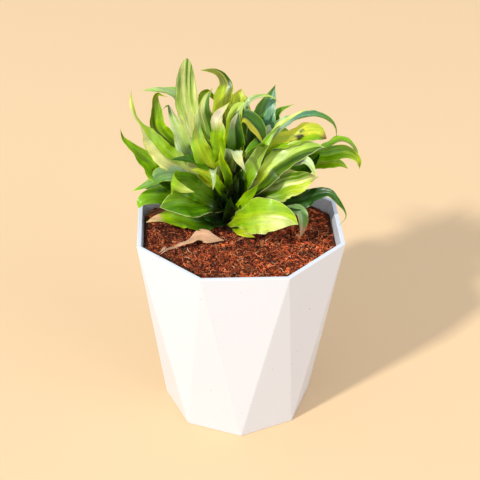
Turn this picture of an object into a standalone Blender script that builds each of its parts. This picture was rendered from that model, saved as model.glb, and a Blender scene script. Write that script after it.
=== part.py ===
"""Potted compact dracaena in a white faceted planter.

The planter's rim is an octagon and its base a smaller octagon turned by half a side. Coco peat
fills it to just under the rim. A short cane stands in the peat and carries long pointed leaves that
twist, fold and wave, fused with it in one body. A shed dry leaf lies on the peat and over the rim.
Z is up, the origin is on the surface that the planter stands on, and -Y is the front.
"""

import math
import random

import bpy
import numpy as np
from mathutils import Vector, noise

MM = 0.001

# Planter, in millimetres
RIM_FLATS = 127.0
BASE_FLATS = 89.5
POT_HEIGHT = 133.0
WALL = 2.8
FLOOR = 3.0
EDGE_ROUNDING = 0.5
ROUNDING_SEGMENTS = 2
SHARP_ANGLE = 10.0
SIDES = 8
HOLE_RADIUS = 4.0
HOLE_RING_RADIUS = 25.0
HOLE_COUNT = 4
HOLE_SIDES = 20

# Coco peat
FIT_GAP = 0.3
CANE_HOLE_GAP = 0.4
SOIL_LEVEL = 124.0
SOIL_RINGS = 9
SOIL_SPOKES = 48
SOIL_BUMP = 1.1
SOIL_BUMP_SIZE = 7.0
SOIL_GRAIN_FINENESS = 2.3

# Cane, and the crown on it where the leaves' sheaths overlap, as heights over the peat and radii
CANE_AT = (-6.0, 8.0)
CANE_RADIUS = 4.5
CANE_DEPTH = 32.0
CROWN = ((4.0, 4.5), (10.0, 7.0), (18.0, 9.5), (30.0, 9.5), (40.0, 7.0), (48.0, 3.0), (52.0, 0.6))
CANE_SIDES = 16

# Leaf blades
BLADE_THICKNESS = 0.8
BLADE_STEP = 11.6
FEWEST_STATIONS = 6
MOST_STATIONS = 10
DRIED_STATIONS = 12
BLADE_FOLD = 26.0
BLADE_WAVE = 0.09
EDGE_PHASE = 1.3
TIP_WIDTH = 0.9
ROOT_SHARE = 0.3
PATH_FINENESS = 16
FRONT_AND_UP = np.array((0.0, -0.85, 0.53)) / math.hypot(0.85, 0.53)


def leaf(root, width, turns, way, widest=0.6, fold=BLADE_FOLD, waves=3.0, taper=1.9, tail=1.1,
         carried=False, base=ROOT_SHARE, rise=1.3):
    """One leaf. root is its height on the cane over the peat, and way is its midrib past the cane,
    as (x, y, z) in millimetres from the middle of the peat. turns are in degrees, evenly from the
    root to the tip: how far the blade is rolled from facing front and up, or from how it left the
    cane where it is carried. widest is the share of its length where it is widest, waves the number
    of waves along its edges, taper how blunt its tip is, tail how slender its very end is, base its
    width at the root as a share, and rise how slowly it widens from there."""
    return {"root": root, "width": width, "turns": turns, "way": way, "widest": widest, "fold": fold,
            "waves": waves, "taper": taper, "tail": tail, "carried": carried, "base": base, "rise": rise}


# Leaves that reach up and to the left
LEFT_LEAVES = {
    "spire": leaf(27, 14.5, (20, 5, 0), ((-13, 11, 37), (-23, 12, 58), (-30, 15, 75), (-32, 17, 89),
                                         (-32, 18, 102), (-31, 19, 112)), widest=0.68, fold=18, taper=2.0,
                  tail=0.55, rise=1.9),
    "far_left": leaf(24, 15, (-10, -30, -30, -10, 80, 0),
        ((-20, 4, 34.5), (-33, 0.5, 47), (-46, -3, 60), (-54, -4, 71), (-60, -3, 81), (-64, -1, 91),
         (-64, 2, 99.5)),
        widest=0.38, taper=2.2, tail=1.3, base=0.4, rise=1.0, fold=4),
    "curl_left": leaf(26, 10.5, (30, 10, 0, 20, 60),
        ((-19, 11, 38), (-38, 10, 56), (-45, 11, 64), (-50, 13, 71), (-51, 15, 80), (-51, 17, 87),
         (-49, 18, 90), (-46, 17, 89), (-43, 17, 88)), widest=0.6, taper=3.2, tail=1.6),
    "behind_spire": leaf(28, 15, (20, 35, 55), ((-14, 12, 40), (-22, 20, 59), (-30, 27, 73), (-38, 31, 81),
                                                (-49, 34, 84), (-60, 37, 83))),
    "striped": leaf(22, 13, (0, -5, -5, -40),
        ((-17, 8, 34), (-27, 4, 50), (-34, 1, 65), (-38, 0, 77), (-41, 0, 87), (-43, -1, 91), (-46, -3, 89)),
        widest=0.45, taper=1.6, fold=18),
    "low_left": leaf(17, 16, (30, 15, 15, 50), ((-19, 8, 23), (-34, 4, 32), (-46, 0, 42), (-54, -2, 51),
                                                (-61, -4, 60), (-67, -6, 68), (-70, -7, 73), (-71, -7, 79)),
                     widest=0.5, taper=1.7),
    "glaucous_left": leaf(19, 15, (30, 20, 40), ((-18, 5, 29), (-29, 0, 40), (-38, -3, 46), (-46, -5, 46),
                                                 (-53, -7, 43), (-59, -8, 40), (-66, -9, 38)), widest=0.5),
    "folded_front_left": leaf(15, 15.5, (0, -5, -5),
        ((-13, 2, 22), (-20, -2, 29), (-25, -5, 35), (-29, -8, 40), (-34, -11, 44), (-39, -14, 47),
         (-42, -17.5, 48), (-40, -20.5, 47.5), (-35, -21.5, 46), (-28, -22, 44)),
        widest=0.76, fold=8, taper=1.0, tail=1.0, carried=True),
    "under_left": leaf(12, 15, (30, 20, 40), ((-21, 4, 21), (-33, 0, 26), (-44, -4, 30), (-54, -7, 31),
                                              (-60, -9, 30), (-62, -9, 26)), widest=0.75, taper=2.6),
    "broad_dark": leaf(14, 20, (20, 15, 0), ((-16, 3, 21), (-25, -3, 25), (-34, -9, 29), (-42, -13, 31),
                                             (-49, -15, 30)), widest=0.65, waves=3.6, taper=2.3),
    "lowest_left": leaf(3, 15, (30, 30, 30), ((-18, 4, 6), (-27, 2, 8), (-36, 0, 11), (-44, -2, 14),
                                              (-52, -4, 15), (-58, -6, 14)), widest=0.5),
    "shaded_front": leaf(7, 15, (10, 10, 10), ((-11, 2, 12), (-17, -4, 16), (-23, -9, 19))),
    "narrow_left": leaf(23, 11, (30, 40, 40), ((-16, 0, 46), (-24, -5, 54), (-33, -8, 58), (-42, -10, 60))),
    "small_lime": leaf(20, 8, (20, 20, 20), ((-16, -3, 44), (-23, -8, 51), (-30, -11, 54)), widest=0.7),
    "hanging_blue": leaf(21, 7, (180, 180, 170), ((-10, 3, 37), (-14, -4, 47), (-16, -9, 51.5),
                                                  (-16, -12, 51), (-16, -14, 46), (-17, -14, 41)),
                         widest=0.7, taper=1.1, tail=1.0, carried=True),
}

# Leaves that stand up in the middle
MIDDLE_LEAVES = {
    "lime_middle": leaf(25, 9.5, (0, -5, 0, 5, 10),
        ((-10, 6, 40), (-12, 0, 54), (-13, -1, 64), (-14, -2, 75), (-15, -2, 79.5), (-14, 0, 82),
         (-12, 4, 83.5), (-9, 7, 85.5), (-6, 9, 88)), widest=0.66, taper=1.8),
    "dark_lens": leaf(27, 11.5, (0, 10, 10),
        ((-4, 9, 36), (-3, 8, 53), (-3, 7, 65), (-3, 7, 74), (-1, 9, 81)), widest=0.65, taper=2.2, tail=0.8),
    "hanging_pale": leaf(23, 9.5, (180, 180, 180),
        ((-7, 4, 38), (-6, -1, 51), (-5, -4, 59.5), (-4, -7, 63.5), (-2.5, -9.5, 61.5), (0, -11, 57),
         (3, -12, 51)), widest=0.76, fold=14, taper=1.0, tail=1.0, carried=True),
    "broad_lime_left": leaf(23, 18, (10, 5, 20), ((-11, 4, 36), (-18, -1, 48), (-23, -4, 60), (-26, -4, 73),
                                                    (-26, -3, 82), (-26, -1, 90)), widest=0.42, taper=1.1,
                            fold=18),
    "pale_left_middle": leaf(28, 10, (10, -10, 0),
        ((-11, 10, 41), (-15, 12, 58), (-19, 13, 69), (-21, 14, 79), (-20, 16, 87), (-16, 18, 93)),
        widest=0.65),
    "behind_middle": leaf(30, 8, (0, 20, 40), ((-10, 12, 45), (-18, 18, 68), (-22, 22, 80), (-23, 24, 85),
                                               (-20, 26, 87), (-16, 27, 84), (-13, 27, 78)), widest=0.7),
    "top_curl": leaf(30, 13, (0, 0, -5, 0, 30),
        ((-8, 14, 43), (-12, 18, 58), (-11, 20, 65), (-10, 23, 75), (-9, 26, 84), (-8, 29, 90),
         (-10, 31, 94.5), (-15, 32, 97.5), (-23, 33, 98)),
        widest=0.68, taper=0.9, tail=0.9, fold=22, base=0.1),
    "lime_point": leaf(30, 16, (0, 0, 10),
        ((-4, 14, 43), (-1, 20, 64), (0, 24, 74), (0, 27, 80), (2, 30, 87)), widest=0.78, taper=1.6,
        tail=0.8),
    "pale_face": leaf(28, 11, (0, 10, -20), ((-5, 8, 44), (-5, 9, 60), (-3, 11, 73), (-1, 13, 81),
                                             (3, 15, 85)), widest=0.72, taper=2.2, tail=0.7),
    "yellow_edge": leaf(20, 6, (10, 0, -20), ((-7, 3, 35), (-9, 0, 47), (-12, -2, 56), (-13, -3, 64)),
                        waves=5.0),
    "small_green": leaf(20, 8.5, (180, 170, 160), ((-2, 7, 33), (5, 7, 46), (9, 6, 57), (11, 3, 62.5),
                                                   (10, -0.5, 65), (5, -3.5, 62.5), (1, -5, 57.5)),
                        widest=0.74, fold=22, taper=1.1, tail=1.0, carried=True),
    "yellow_fold": leaf(26, 12, (0, -10, -20, -20),
        ((-3, 9, 45), (-2, 10, 58), (-1, 11, 68), (0.5, 10, 75), (3, 9, 77), (6, 8, 75.5), (10, 6, 71),
         (13, 5, 66), (15, 4, 61)), widest=0.8, fold=34, taper=1.8),
    "thin_arc": leaf(30, 6.5, (0, -40, -60), ((-1, 13, 43), (4, 17, 65), (5, 19, 77), (7, 20, 83),
                                              (12, 21, 85), (19, 22, 85), (25, 22, 81))),
}

# Leaves that reach up and to the right
RIGHT_LEAVES = {
    "blue_point": leaf(28, 17, (-10, 0, 0), ((1, 14, 38), (8, 19, 52), (14, 24, 64), (17, 27, 74),
                                             (20, 30, 81), (23, 33, 88)), widest=0.68, taper=1.5),
    "dark_right": leaf(26, 14, (-10, -20, -30),
        ((2, 14, 35), (12, 18, 47), (18, 22, 58), (23, 26, 67), (27, 29, 73), (35, 32, 75)),
        widest=0.42, taper=1.3),
    "dark_tip": leaf(25, 9, (-10, -10, 0),
        ((0, 12, 38), (5, 14, 50), (8, 16, 62), (11, 17, 68), (14, 18, 73), (17, 20, 78)), widest=0.6),
    "long_arch": leaf(21, 12, (-20, -50, -50, -60), ((5, 9, 31), (10, 12, 42), (15, 15, 52), (20, 17, 60),
                                                     (28, 20, 66), (37, 22, 70), (46, 23, 71),
                                                     (54, 23, 69), (60, 23, 63), (61, 21, 54)),
                      widest=0.5, fold=32, taper=1.4),
    "pale_tip": leaf(24, 5.5, (-20, -40, -50),
        ((6, 10, 34), (14, 8, 52), (22, 8, 69.7), (31, 9, 76.7), (38, 10, 80.7), (42, 11, 82.7)), fold=34),
    "yellow_right": leaf(21, 15, (-40, -60, -50, -35, -20),
        ((5, 8, 34), (16, 9, 52), (24, 11, 58), (32, 12, 60), (40, 13, 62.5), (47, 14, 63.5), (54, 14, 60)),
        widest=0.78, taper=3.4, waves=4.0, base=0.15),
    "blue_grey": leaf(20, 12, (-20, -40, -50),
        ((7, 13, 32), (18, 18, 44), (34, 23, 47), (46, 26, 46), (52, 27, 46), (57, 28, 46)), widest=0.65),
    "olive_arc": leaf(23, 9.5, (-20, -50, -80), ((3, 16, 32), (18, 24, 39), (35, 30, 41), (51, 33, 42),
                                                 (60, 36, 44), (66, 38, 45.5), (71, 39, 44), (75, 38, 40.5),
                                                 (77.5, 37, 35), (78, 35, 28.5)), widest=0.75, taper=2.0),
    "far_right": leaf(18, 12, (-20, -35, -30, 0), ((3, 15, 31), (18, 23, 39), (35, 30, 38), (54, 33, 37.5),
                                                   (61, 34, 39), (69, 35, 39), (74, 35, 37), (78, 34, 33.5),
                                                   (79, 33, 28)), widest=0.7, taper=2.2),
    "far_right_low": leaf(15, 10, (-20, -30, -20),
        ((5, 14, 27), (18, 21, 33), (35, 28, 33), (54, 31, 33), (61, 31, 33.5), (66, 31, 33), (71, 30, 30)),
        widest=0.75, taper=2.6),
    "pale_right": leaf(17, 17, (-20, -25, -25, -20, -10),
        ((6, 4, 29), (14, 1.5, 39.5), (22, 3, 48), (31, 4, 54), (40, 5.5, 57.3), (47, 7, 58.3),
         (52, 8, 57.2)),
        widest=0.56, fold=16, taper=2.2),
    "dark_wedge": leaf(13, 15, (-10, -15, -10),
        ((9, 13, 23), (20, 14, 27), (29, 15, 31), (37, 17, 36), (44, 18, 41), (49, 17, 46.5),
         (50, 16, 49.5)), widest=0.7, taper=3.0),
    "pale_hook": leaf(15, 6, (-20, -30, 0),
        ((10, 12, 32), (20, 10, 41), (29, 6, 45.8), (35, 3, 50.4), (39, 1, 52.4), (42, -1.5, 51.6),
         (44, -4, 48.8), (46, -6, 43.7)), widest=0.78),
    "lime_right": leaf(11, 20, (-10, 0, 0),
        ((4, 7, 22), (14, 4, 29), (25, 1, 34), (34, -1, 38), (41, -2, 41), (48, -3, 42.5)),
        taper=3.0, tail=1.4),
    "dark_low_right": leaf(8, 18, (-20, -30, -10, 10), ((7, 6, 16), (20, 4, 20), (32, 2, 22), (42, 0, 26),
                                                        (50, -3, 31), (56, -6, 32), (61, -9, 27),
                                                        (65, -12, 20), (61, -13, 14)), widest=0.42,
                           taper=1.3, tail=1.9),
    "broad_front": leaf(4, 23, (-10, -5, 0),
        ((-7, -1, 8), (0, -7, 15), (7, -13, 20.5), (14, -18, 24.5), (22, -22, 26), (29, -25, 26),
         (34, -26, 23)), widest=0.64, taper=2.0, fold=16, base=0.03, rise=3.0, waves=4.0),
    "under_front": leaf(3, 6, (0, 0, 0), ((-3, 1, 5), (0, -7, 7.5), (5, -11, 7), (9, -12.5, 6)), widest=0.7),
    "hanging_tip": leaf(6, 7.5, (-10, -5, 0),
        ((6, 3, 10), (16, 0, 12), (25, -2, 16.5), (32, -4, 20), (36.5, -5, 20.5), (38.5, -7, 17),
         (39, -8, 11), (38.5, -8, 6), (37, -8, 1.5)), widest=0.72, taper=1.6),
    "narrow_v": leaf(9, 9, (-10, -20, -20), ((-3, 0, 15), (3, -3, 25), (8, -5, 34), (11, -6, 40)), fold=36),
    "green_middle": leaf(18, 11, (0, -5, -10),
        ((0, 4, 29), (4, 2, 41), (9, 2, 50), (13, 3, 59), (17, 4, 65), (21, 6, 70), (25, 9, 73)),
        widest=0.42, taper=1.5),
}

# The withered leaf at the left, narrow and dark
WITHERED_LEAF = leaf(3, 4, (0, 0, 0), ((-20, 9, 12), (-35, 11, 13), (-48, 12, 12), (-56, 8, 12),
                                       (-60, 5, 11)), widest=0.7, waves=1.0)

# Leaves behind, which go round the back of the cane by one turning angle, from low to high
BACK_LEAF_COUNT = 15
BACK_SEED = 11
BACK_WIDTH = 15.0
BACK_REACH = (62.0, 30.0)
BACK_RISE = (12.0, 52.0)
BACK_ROOTS = (6.0, 28.0)
BACK_SPREAD = 66.0
BACK_ARCH = ((0.2, 0.4), (0.5, 0.8), (0.8, 1.0), (1.05, 0.85))
GOLDEN_SHARE = 0.618
FACING_UP_TURN = 50.0
BACK_TURN_SPREAD = 25.0

# The shed leaf, as way-points like a leaf's, on the peat and over the rim
DRIED_WAY = ((-10, -10, 2.5), (-17, -9.8, 3.8), (-23, -8.5, 3.9), (-27, -9.8, 4), (-30, -12, 4.2),
             (-35, -16.5, 5.2), (-39, -21, 6), (-45, -30, 9), (-50, -38, 10.5), (-54, -44, 11))
DRIED_WIDTH = 11.5
DRIED_TURNS = (30, 35, 40, 50, 50)

COLOURS = {
    "planter_white": ((0.90, 0.89, 0.88), 0.35),
    "coco_peat": ((0.16, 0.055, 0.03), 0.95),
    "leaf_green": ((0.20, 0.36, 0.05), 0.45),
    "dry_leaf": ((0.72, 0.52, 0.30), 0.7),
}


def clear_scene():
    """Remove the objects that a new file starts with."""
    for item in list(bpy.context.scene.objects):
        bpy.data.objects.remove(item, do_unlink=True)


def material(name):
    """A plain Principled material from COLOURS."""
    colour, roughness = COLOURS[name]
    made = bpy.data.materials.new(name)
    made.use_nodes = True
    shader = made.node_tree.nodes["Principled BSDF"]
    shader.inputs["Base Color"].default_value = (*colour, 1.0)
    shader.inputs["Roughness"].default_value = roughness
    made.diffuse_color = (*colour, 1.0)
    return made


def mesh_object(name, points, faces):
    """A new object from points in millimetres."""
    mesh = bpy.data.meshes.new(name)
    mesh.from_pydata([tuple(c * MM for c in p) for p in points], [], faces)
    mesh.validate()
    item = bpy.data.objects.new(name, mesh)
    bpy.context.scene.collection.objects.link(item)
    return item


def octagon(flats, z, half_turn):
    """Corners of an octagon of a given width across its flats. With half_turn a flat side faces front."""
    radius = flats / 2 / math.cos(math.pi / SIDES)
    start = 0.5 if half_turn else 0.0
    corners = []
    for k in range(SIDES):
        angle = 2 * math.pi * (k + start) / SIDES
        corners.append((radius * math.sin(angle), -radius * math.cos(angle), z))
    return corners


def faceted_sides(base, rim):
    """Faces of the sixteen flat triangles between a base octagon and a rim octagon, facing out.
    base and rim are the numbers of their first points."""
    faces = []
    for k in range(SIDES):
        following = (k + 1) % SIDES
        faces.append((base + k, base + following, rim + k))
        faces.append((base + following, rim + following, rim + k))
    return faces


def apply_modifiers(item):
    """Replace an object's mesh by what its modifiers make of it."""
    evaluated = item.evaluated_get(bpy.context.evaluated_depsgraph_get())
    made = bpy.data.meshes.new_from_object(evaluated)
    item.modifiers.clear()
    item.data = made


def make_pot():
    """The planter: a faceted shell with a flat floor and drainage holes round its middle."""
    outer_base = octagon(BASE_FLATS, 0.0, False)
    outer_rim = octagon(RIM_FLATS, POT_HEIGHT, True)
    floor_flats = BASE_FLATS + (RIM_FLATS - BASE_FLATS) * FLOOR / POT_HEIGHT - 2 * WALL
    inner_base = octagon(floor_flats, FLOOR, False)
    inner_rim = octagon(RIM_FLATS - 2 * WALL, POT_HEIGHT, True)
    points = outer_base + outer_rim + inner_base + inner_rim
    faces = faceted_sides(0, SIDES)
    faces += [tuple(reversed(face)) for face in faceted_sides(2 * SIDES, 3 * SIDES)]
    faces.append(tuple(reversed(range(SIDES))))
    faces.append(tuple(range(2 * SIDES, 3 * SIDES)))
    for k in range(SIDES):
        following = (k + 1) % SIDES
        faces.append((SIDES + k, SIDES + following, 3 * SIDES + following, 3 * SIDES + k))
    pot = mesh_object("pot", points, faces)
    rounding = pot.modifiers.new("rounded_edges", "BEVEL")
    rounding.width = EDGE_ROUNDING * MM
    rounding.segments = ROUNDING_SEGMENTS
    rounding.limit_method = "ANGLE"
    rounding.angle_limit = math.radians(SHARP_ANGLE)
    for k in range(HOLE_COUNT):
        angle = 2 * math.pi * (k + 0.5) / HOLE_COUNT
        cut_drainage_hole(pot, angle)
    return pot


def cut_drainage_hole(pot, angle):
    """One round hole through the floor."""
    bpy.ops.mesh.primitive_cylinder_add(vertices=HOLE_SIDES, radius=HOLE_RADIUS * MM,
                                        depth=4 * FLOOR * MM)
    cutter = bpy.context.object
    cutter.name = "drainage_cutter"
    cutter.location = (HOLE_RING_RADIUS * math.sin(angle) * MM, -HOLE_RING_RADIUS * math.cos(angle) * MM, 0)
    cutter.hide_render = True
    cutter.display_type = "WIRE"
    hole = pot.modifiers.new("drainage_hole", "BOOLEAN")
    hole.operation = "DIFFERENCE"
    hole.solver = "EXACT"
    hole.object = cutter


def soil_outline(flats_at_floor, flats_at_rim, z_floor, z):
    """The sixteen corners of the planter's inside at the height z."""
    low = octagon(flats_at_floor, z_floor, False)
    high = octagon(flats_at_rim, POT_HEIGHT, True)
    share = (z - z_floor) / (POT_HEIGHT - z_floor)
    corners = []
    for k in range(SIDES):
        for neighbour in (high[k - 1], high[k]):
            corners.append(tuple(a + (b - a) * share for a, b in zip(low[k], neighbour)))
    return low, corners


def soil_height(x, y):
    """Height of the uneven peat over its mean level."""
    place = Vector((x, y, 0.0)) / SOIL_BUMP_SIZE
    return SOIL_BUMP * (noise.noise(place) + 0.5 * noise.noise(place * SOIL_GRAIN_FINENESS))


def make_soil():
    """The peat: the planter's inside with a clear gap, an uneven top and a plain hole for the cane."""
    inset = 2 * (WALL + FIT_GAP)
    z_floor = FLOOR + FIT_GAP
    flats_at_floor = BASE_FLATS + (RIM_FLATS - BASE_FLATS) * z_floor / POT_HEIGHT - inset
    low, corners = soil_outline(flats_at_floor, RIM_FLATS - inset, z_floor, SOIL_LEVEL)
    points = list(low)
    steps = SOIL_SPOKES // len(corners)
    outline = []
    for k, corner in enumerate(corners):
        following = corners[(k + 1) % len(corners)]
        for step in range(steps):
            share = step / steps
            outline.append(tuple(a + (b - a) * share for a, b in zip(corner, following)))
    hole_radius = CANE_RADIUS + CANE_HOLE_GAP
    rings = []
    for ring in range(SOIL_RINGS + 1):
        share = ring / SOIL_RINGS
        numbers = []
        for x, y, z in outline:
            around = math.atan2(y - CANE_AT[1], x - CANE_AT[0])
            hole_x = CANE_AT[0] + hole_radius * math.cos(around)
            hole_y = CANE_AT[1] + hole_radius * math.sin(around)
            px = x + (hole_x - x) * share
            py = y + (hole_y - y) * share
            raised = soil_height(px, py) if 0 < ring < SOIL_RINGS else 0.0
            numbers.append(len(points))
            points.append((px, py, z + raised))
        rings.append(numbers)
    bottom = []
    for number in rings[-1]:
        x, y, _ = points[number]
        bottom.append(len(points))
        points.append((x, y, SOIL_LEVEL - CANE_DEPTH - FIT_GAP))
    rings.append(bottom)
    faces = [tuple(reversed(range(SIDES))), tuple(bottom)]
    for outer, inner in zip(rings, rings[1:]):
        for j in range(SOIL_SPOKES):
            following = (j + 1) % SOIL_SPOKES
            faces.append((outer[j], outer[following], inner[following], inner[j]))
    edge = rings[0]
    for k in range(SIDES):
        first = 2 * k * steps
        last = first + steps
        faces.append((k, *reversed([edge[j % SOIL_SPOKES] for j in range(first, last + 1)])))
        after = last + steps
        side = [edge[j % SOIL_SPOKES] for j in range(last, after + 1)]
        faces.append((k, (k + 1) % SIDES, *reversed(side)))
    return mesh_object("soil", points, faces)


def smooth_path(points, stations):
    """Evenly spaced points along a smooth curve through the way-points, and its length."""
    way = [Vector(p) for p in points]
    way = [2 * way[0] - way[1]] + way + [2 * way[-1] - way[-2]]
    dense = []
    for a, b, c, d in zip(way, way[1:], way[2:], way[3:]):
        for step in range(PATH_FINENESS):
            t = step / PATH_FINENESS
            dense.append(0.5 * (2 * b + (c - a) * t + (2 * a - 5 * b + 4 * c - d) * t * t
                                + (3 * b - a - 3 * c + d) * t * t * t))
    dense.append(way[-2])
    dense = np.array(dense)
    gaps = np.linalg.norm(np.diff(dense, axis=0), axis=1)
    along = np.concatenate(([0.0], np.cumsum(gaps)))
    wanted = np.linspace(0.0, along[-1], stations)
    return np.stack([np.interp(wanted, along, dense[:, k]) for k in range(3)], axis=1), along[-1]


def unit(rows):
    """Each row scaled to length one."""
    return rows / np.linalg.norm(rows, axis=-1, keepdims=True)


def blade_share(s, row):
    """Width of a blade at each share of its length, as a share of its full width."""
    widest = row["widest"]
    opening = np.sin(np.minimum(s / widest, 1.0) * math.pi / 2) ** row["rise"]
    past = np.clip((s - widest) / (1 - widest), 0.0, 1.0)
    closing = (1 - past ** row["taper"]) ** row["tail"]
    return np.where(s < widest, row["base"] + (1 - row["base"]) * opening, closing)


def carried_along(facing, tangents):
    """How a blade faces at each point of its path when it bends without rolling."""
    rows = [facing]
    for step in tangents[1:]:
        rows.append(unit(rows[-1] - (rows[-1] @ step) * step))
    return np.array(rows)


def blade(path, row, thickness):
    """Points and faces of one closed blade along a path, split into triangles alike on both faces."""
    stations = len(path)
    s = np.linspace(0.0, 1.0, stations)
    tangents = unit(np.gradient(path, axis=0))
    facing = unit(FRONT_AND_UP - (tangents @ FRONT_AND_UP)[:, None] * tangents)
    if row["carried"]:
        facing = carried_along(facing[0], tangents)
    turns = np.radians(np.interp(s, np.linspace(0.0, 1.0, len(row["turns"])), row["turns"]))[:, None]
    normals = facing * np.cos(turns) + np.cross(tangents, facing) * np.sin(turns)
    across = np.cross(tangents, normals)
    halves = np.maximum(row["width"] * blade_share(s, row), TIP_WIDTH) / 2
    fold = math.radians(row["fold"])
    points = []
    for k in range(stations):
        for side in (-1, 0, 1):
            phase = 2 * math.pi * row["waves"] * s[k] + EDGE_PHASE * side
            ripple = BLADE_WAVE * row["width"] * math.sin(phase) * math.sin(math.pi * s[k])
            lift = abs(side) * (halves[k] * math.sin(fold) + ripple)
            place = path[k] + across[k] * side * halves[k] * math.cos(fold) + normals[k] * lift
            points.append(tuple(place + normals[k] * thickness / 2))
            points.append(tuple(place - normals[k] * thickness / 2))
    return points, blade_faces(stations)


def blade_faces(stations):
    """Triangles of a blade with three points across it on each face."""
    def top(k, side):
        return 6 * k + 2 * side

    def under(k, side):
        return 6 * k + 2 * side + 1

    faces = []
    for k in range(stations - 1):
        for side in range(2):
            a, b = top(k, side), top(k, side + 1)
            c, d = top(k + 1, side + 1), top(k + 1, side)
            faces += [(a, b, c), (a, c, d)]
            a, b = under(k, side), under(k, side + 1)
            c, d = under(k + 1, side + 1), under(k + 1, side)
            faces += [(c, b, a), (d, c, a)]
        faces += [(top(k, 0), top(k + 1, 0), under(k + 1, 0)), (top(k, 0), under(k + 1, 0), under(k, 0))]
        faces += [(top(k + 1, 2), top(k, 2), under(k, 2)), (top(k + 1, 2), under(k, 2), under(k + 1, 2))]
    for side in range(2):
        faces += [(top(0, side + 1), top(0, side), under(0, side)),
                  (top(0, side + 1), under(0, side), under(0, side + 1))]
        last = stations - 1
        faces += [(top(last, side), top(last, side + 1), under(last, side + 1)),
                  (top(last, side), under(last, side + 1), under(last, side))]
    return faces


def back_leaves():
    """The leaves behind the cane: the low ones arch far back and down, the high ones stand up."""
    draw = random.Random(BACK_SEED)
    rows = []
    for k in range(BACK_LEAF_COUNT):
        share = k / (BACK_LEAF_COUNT - 1)
        azimuth = math.radians(BACK_SPREAD * (2 * ((k * GOLDEN_SHARE) % 1.0) - 1))
        root = BACK_ROOTS[0] + (BACK_ROOTS[1] - BACK_ROOTS[0]) * share
        reach = (BACK_REACH[0] + (BACK_REACH[1] - BACK_REACH[0]) * share) * draw.uniform(0.9, 1.08)
        rise = (BACK_RISE[0] + (BACK_RISE[1] - BACK_RISE[0]) * share) * draw.uniform(0.9, 1.15)
        out = Vector((math.sin(azimuth), math.cos(azimuth), 0.0))
        foot = Vector((*CANE_AT, root))
        way = [tuple(foot + out * reach * part + Vector((0, 0, rise * height)))
               for part, height in BACK_ARCH]
        facing = -FACING_UP_TURN * math.sin(azimuth)
        turns = tuple(facing + draw.uniform(-BACK_TURN_SPREAD, BACK_TURN_SPREAD) for _ in range(3))
        rows.append(leaf(root, BACK_WIDTH * draw.uniform(0.8, 1.1), turns, tuple(way)))
    return rows


def blade_object(name, row):
    """A blade as its own object, rooted on the cane's axis, with a station for each step along it."""
    way = [(*CANE_AT, row["root"]), *row["way"]]
    _, length = smooth_path(way, FEWEST_STATIONS)
    stations = min(max(round(length / BLADE_STEP) + 1, FEWEST_STATIONS), MOST_STATIONS)
    if row["carried"]:
        stations = MOST_STATIONS
    path, _ = smooth_path(way, stations)
    path[:, 2] += SOIL_LEVEL
    points, faces = blade(path, row, BLADE_THICKNESS)
    return mesh_object(name, points, faces)


def make_cane():
    """The bare cane with the crown on it."""
    levels = ((-CANE_DEPTH, CANE_RADIUS), *CROWN)
    points = []
    for z, radius in levels:
        for j in range(CANE_SIDES):
            angle = 2 * math.pi * j / CANE_SIDES
            points.append((CANE_AT[0] + radius * math.cos(angle), CANE_AT[1] + radius * math.sin(angle),
                           SOIL_LEVEL + z))
    faces = [tuple(reversed(range(CANE_SIDES)))]
    for level in range(len(levels) - 1):
        start = level * CANE_SIDES
        for j in range(CANE_SIDES):
            following = (j + 1) % CANE_SIDES
            a, b = start + j, start + following
            faces.append((a, b, b + CANE_SIDES, a + CANE_SIDES))
    faces.append(tuple(range((len(levels) - 1) * CANE_SIDES, len(levels) * CANE_SIDES)))
    return mesh_object("leafy_cane", points, faces)


def fuse(body, blades):
    """One Boolean union of the body with a collection of blades, whose objects are then removed."""
    group = bpy.data.collections.new("blades")
    bpy.context.scene.collection.children.link(group)
    for item in blades:
        bpy.context.scene.collection.objects.unlink(item)
        group.objects.link(item)
    union = body.modifiers.new("union", "BOOLEAN")
    union.operation = "UNION"
    union.operand_type = "COLLECTION"
    union.collection = group
    union.solver = "MANIFOLD"
    apply_modifiers(body)
    for item in blades:
        bpy.data.objects.remove(item, do_unlink=True)
    bpy.data.collections.remove(group)


def keep_outer_skin(body):
    """Drop loose scraps and the skins of sealed pockets, so that the body is solid through."""
    mesh = body.data
    parent = list(range(len(mesh.vertices)))

    def leader(v):
        while parent[v] != v:
            parent[v] = parent[parent[v]]
            v = parent[v]
        return v

    for edge in mesh.edges:
        a, b = (leader(v) for v in edge.vertices)
        parent[a] = b
    sizes = {}
    for vertex in mesh.vertices:
        group = leader(vertex.index)
        sizes[group] = sizes.get(group, 0) + 1
    largest = max(sizes, key=sizes.get)
    kept = [v.index for v in mesh.vertices if leader(v.index) == largest]
    renumber = {old: new for new, old in enumerate(kept)}
    points = [tuple(mesh.vertices[v].co) for v in kept]
    faces = [tuple(renumber[v] for v in p.vertices) for p in mesh.polygons if p.vertices[0] in renumber]
    clean = bpy.data.meshes.new(body.name)
    clean.from_pydata(points, [], faces)
    clean.validate()
    body.data = clean


def make_leafy_cane():
    """The plant in one body: the cane and every leaf on it."""
    cane = make_cane()
    seen = [*LEFT_LEAVES.values(), *MIDDLE_LEAVES.values(), *RIGHT_LEAVES.values(), WITHERED_LEAF]
    rows = [*seen, *back_leaves()]
    fuse(cane, [blade_object(f"blade_{k:02d}", row) for k, row in enumerate(rows)])
    keep_outer_skin(cane)
    return cane


def make_dried_leaf():
    """The shed leaf, which lies on the peat and over the rim."""
    row = leaf(0, DRIED_WIDTH, DRIED_TURNS, DRIED_WAY, widest=0.22, fold=12.0, waves=1.5, taper=0.75,
               tail=2.8, base=0.1)
    path, _ = smooth_path(row["way"], DRIED_STATIONS)
    path[:, 2] += SOIL_LEVEL
    points, faces = blade(path, row, BLADE_THICKNESS)
    return mesh_object("dried_leaf", points, faces)


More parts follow.
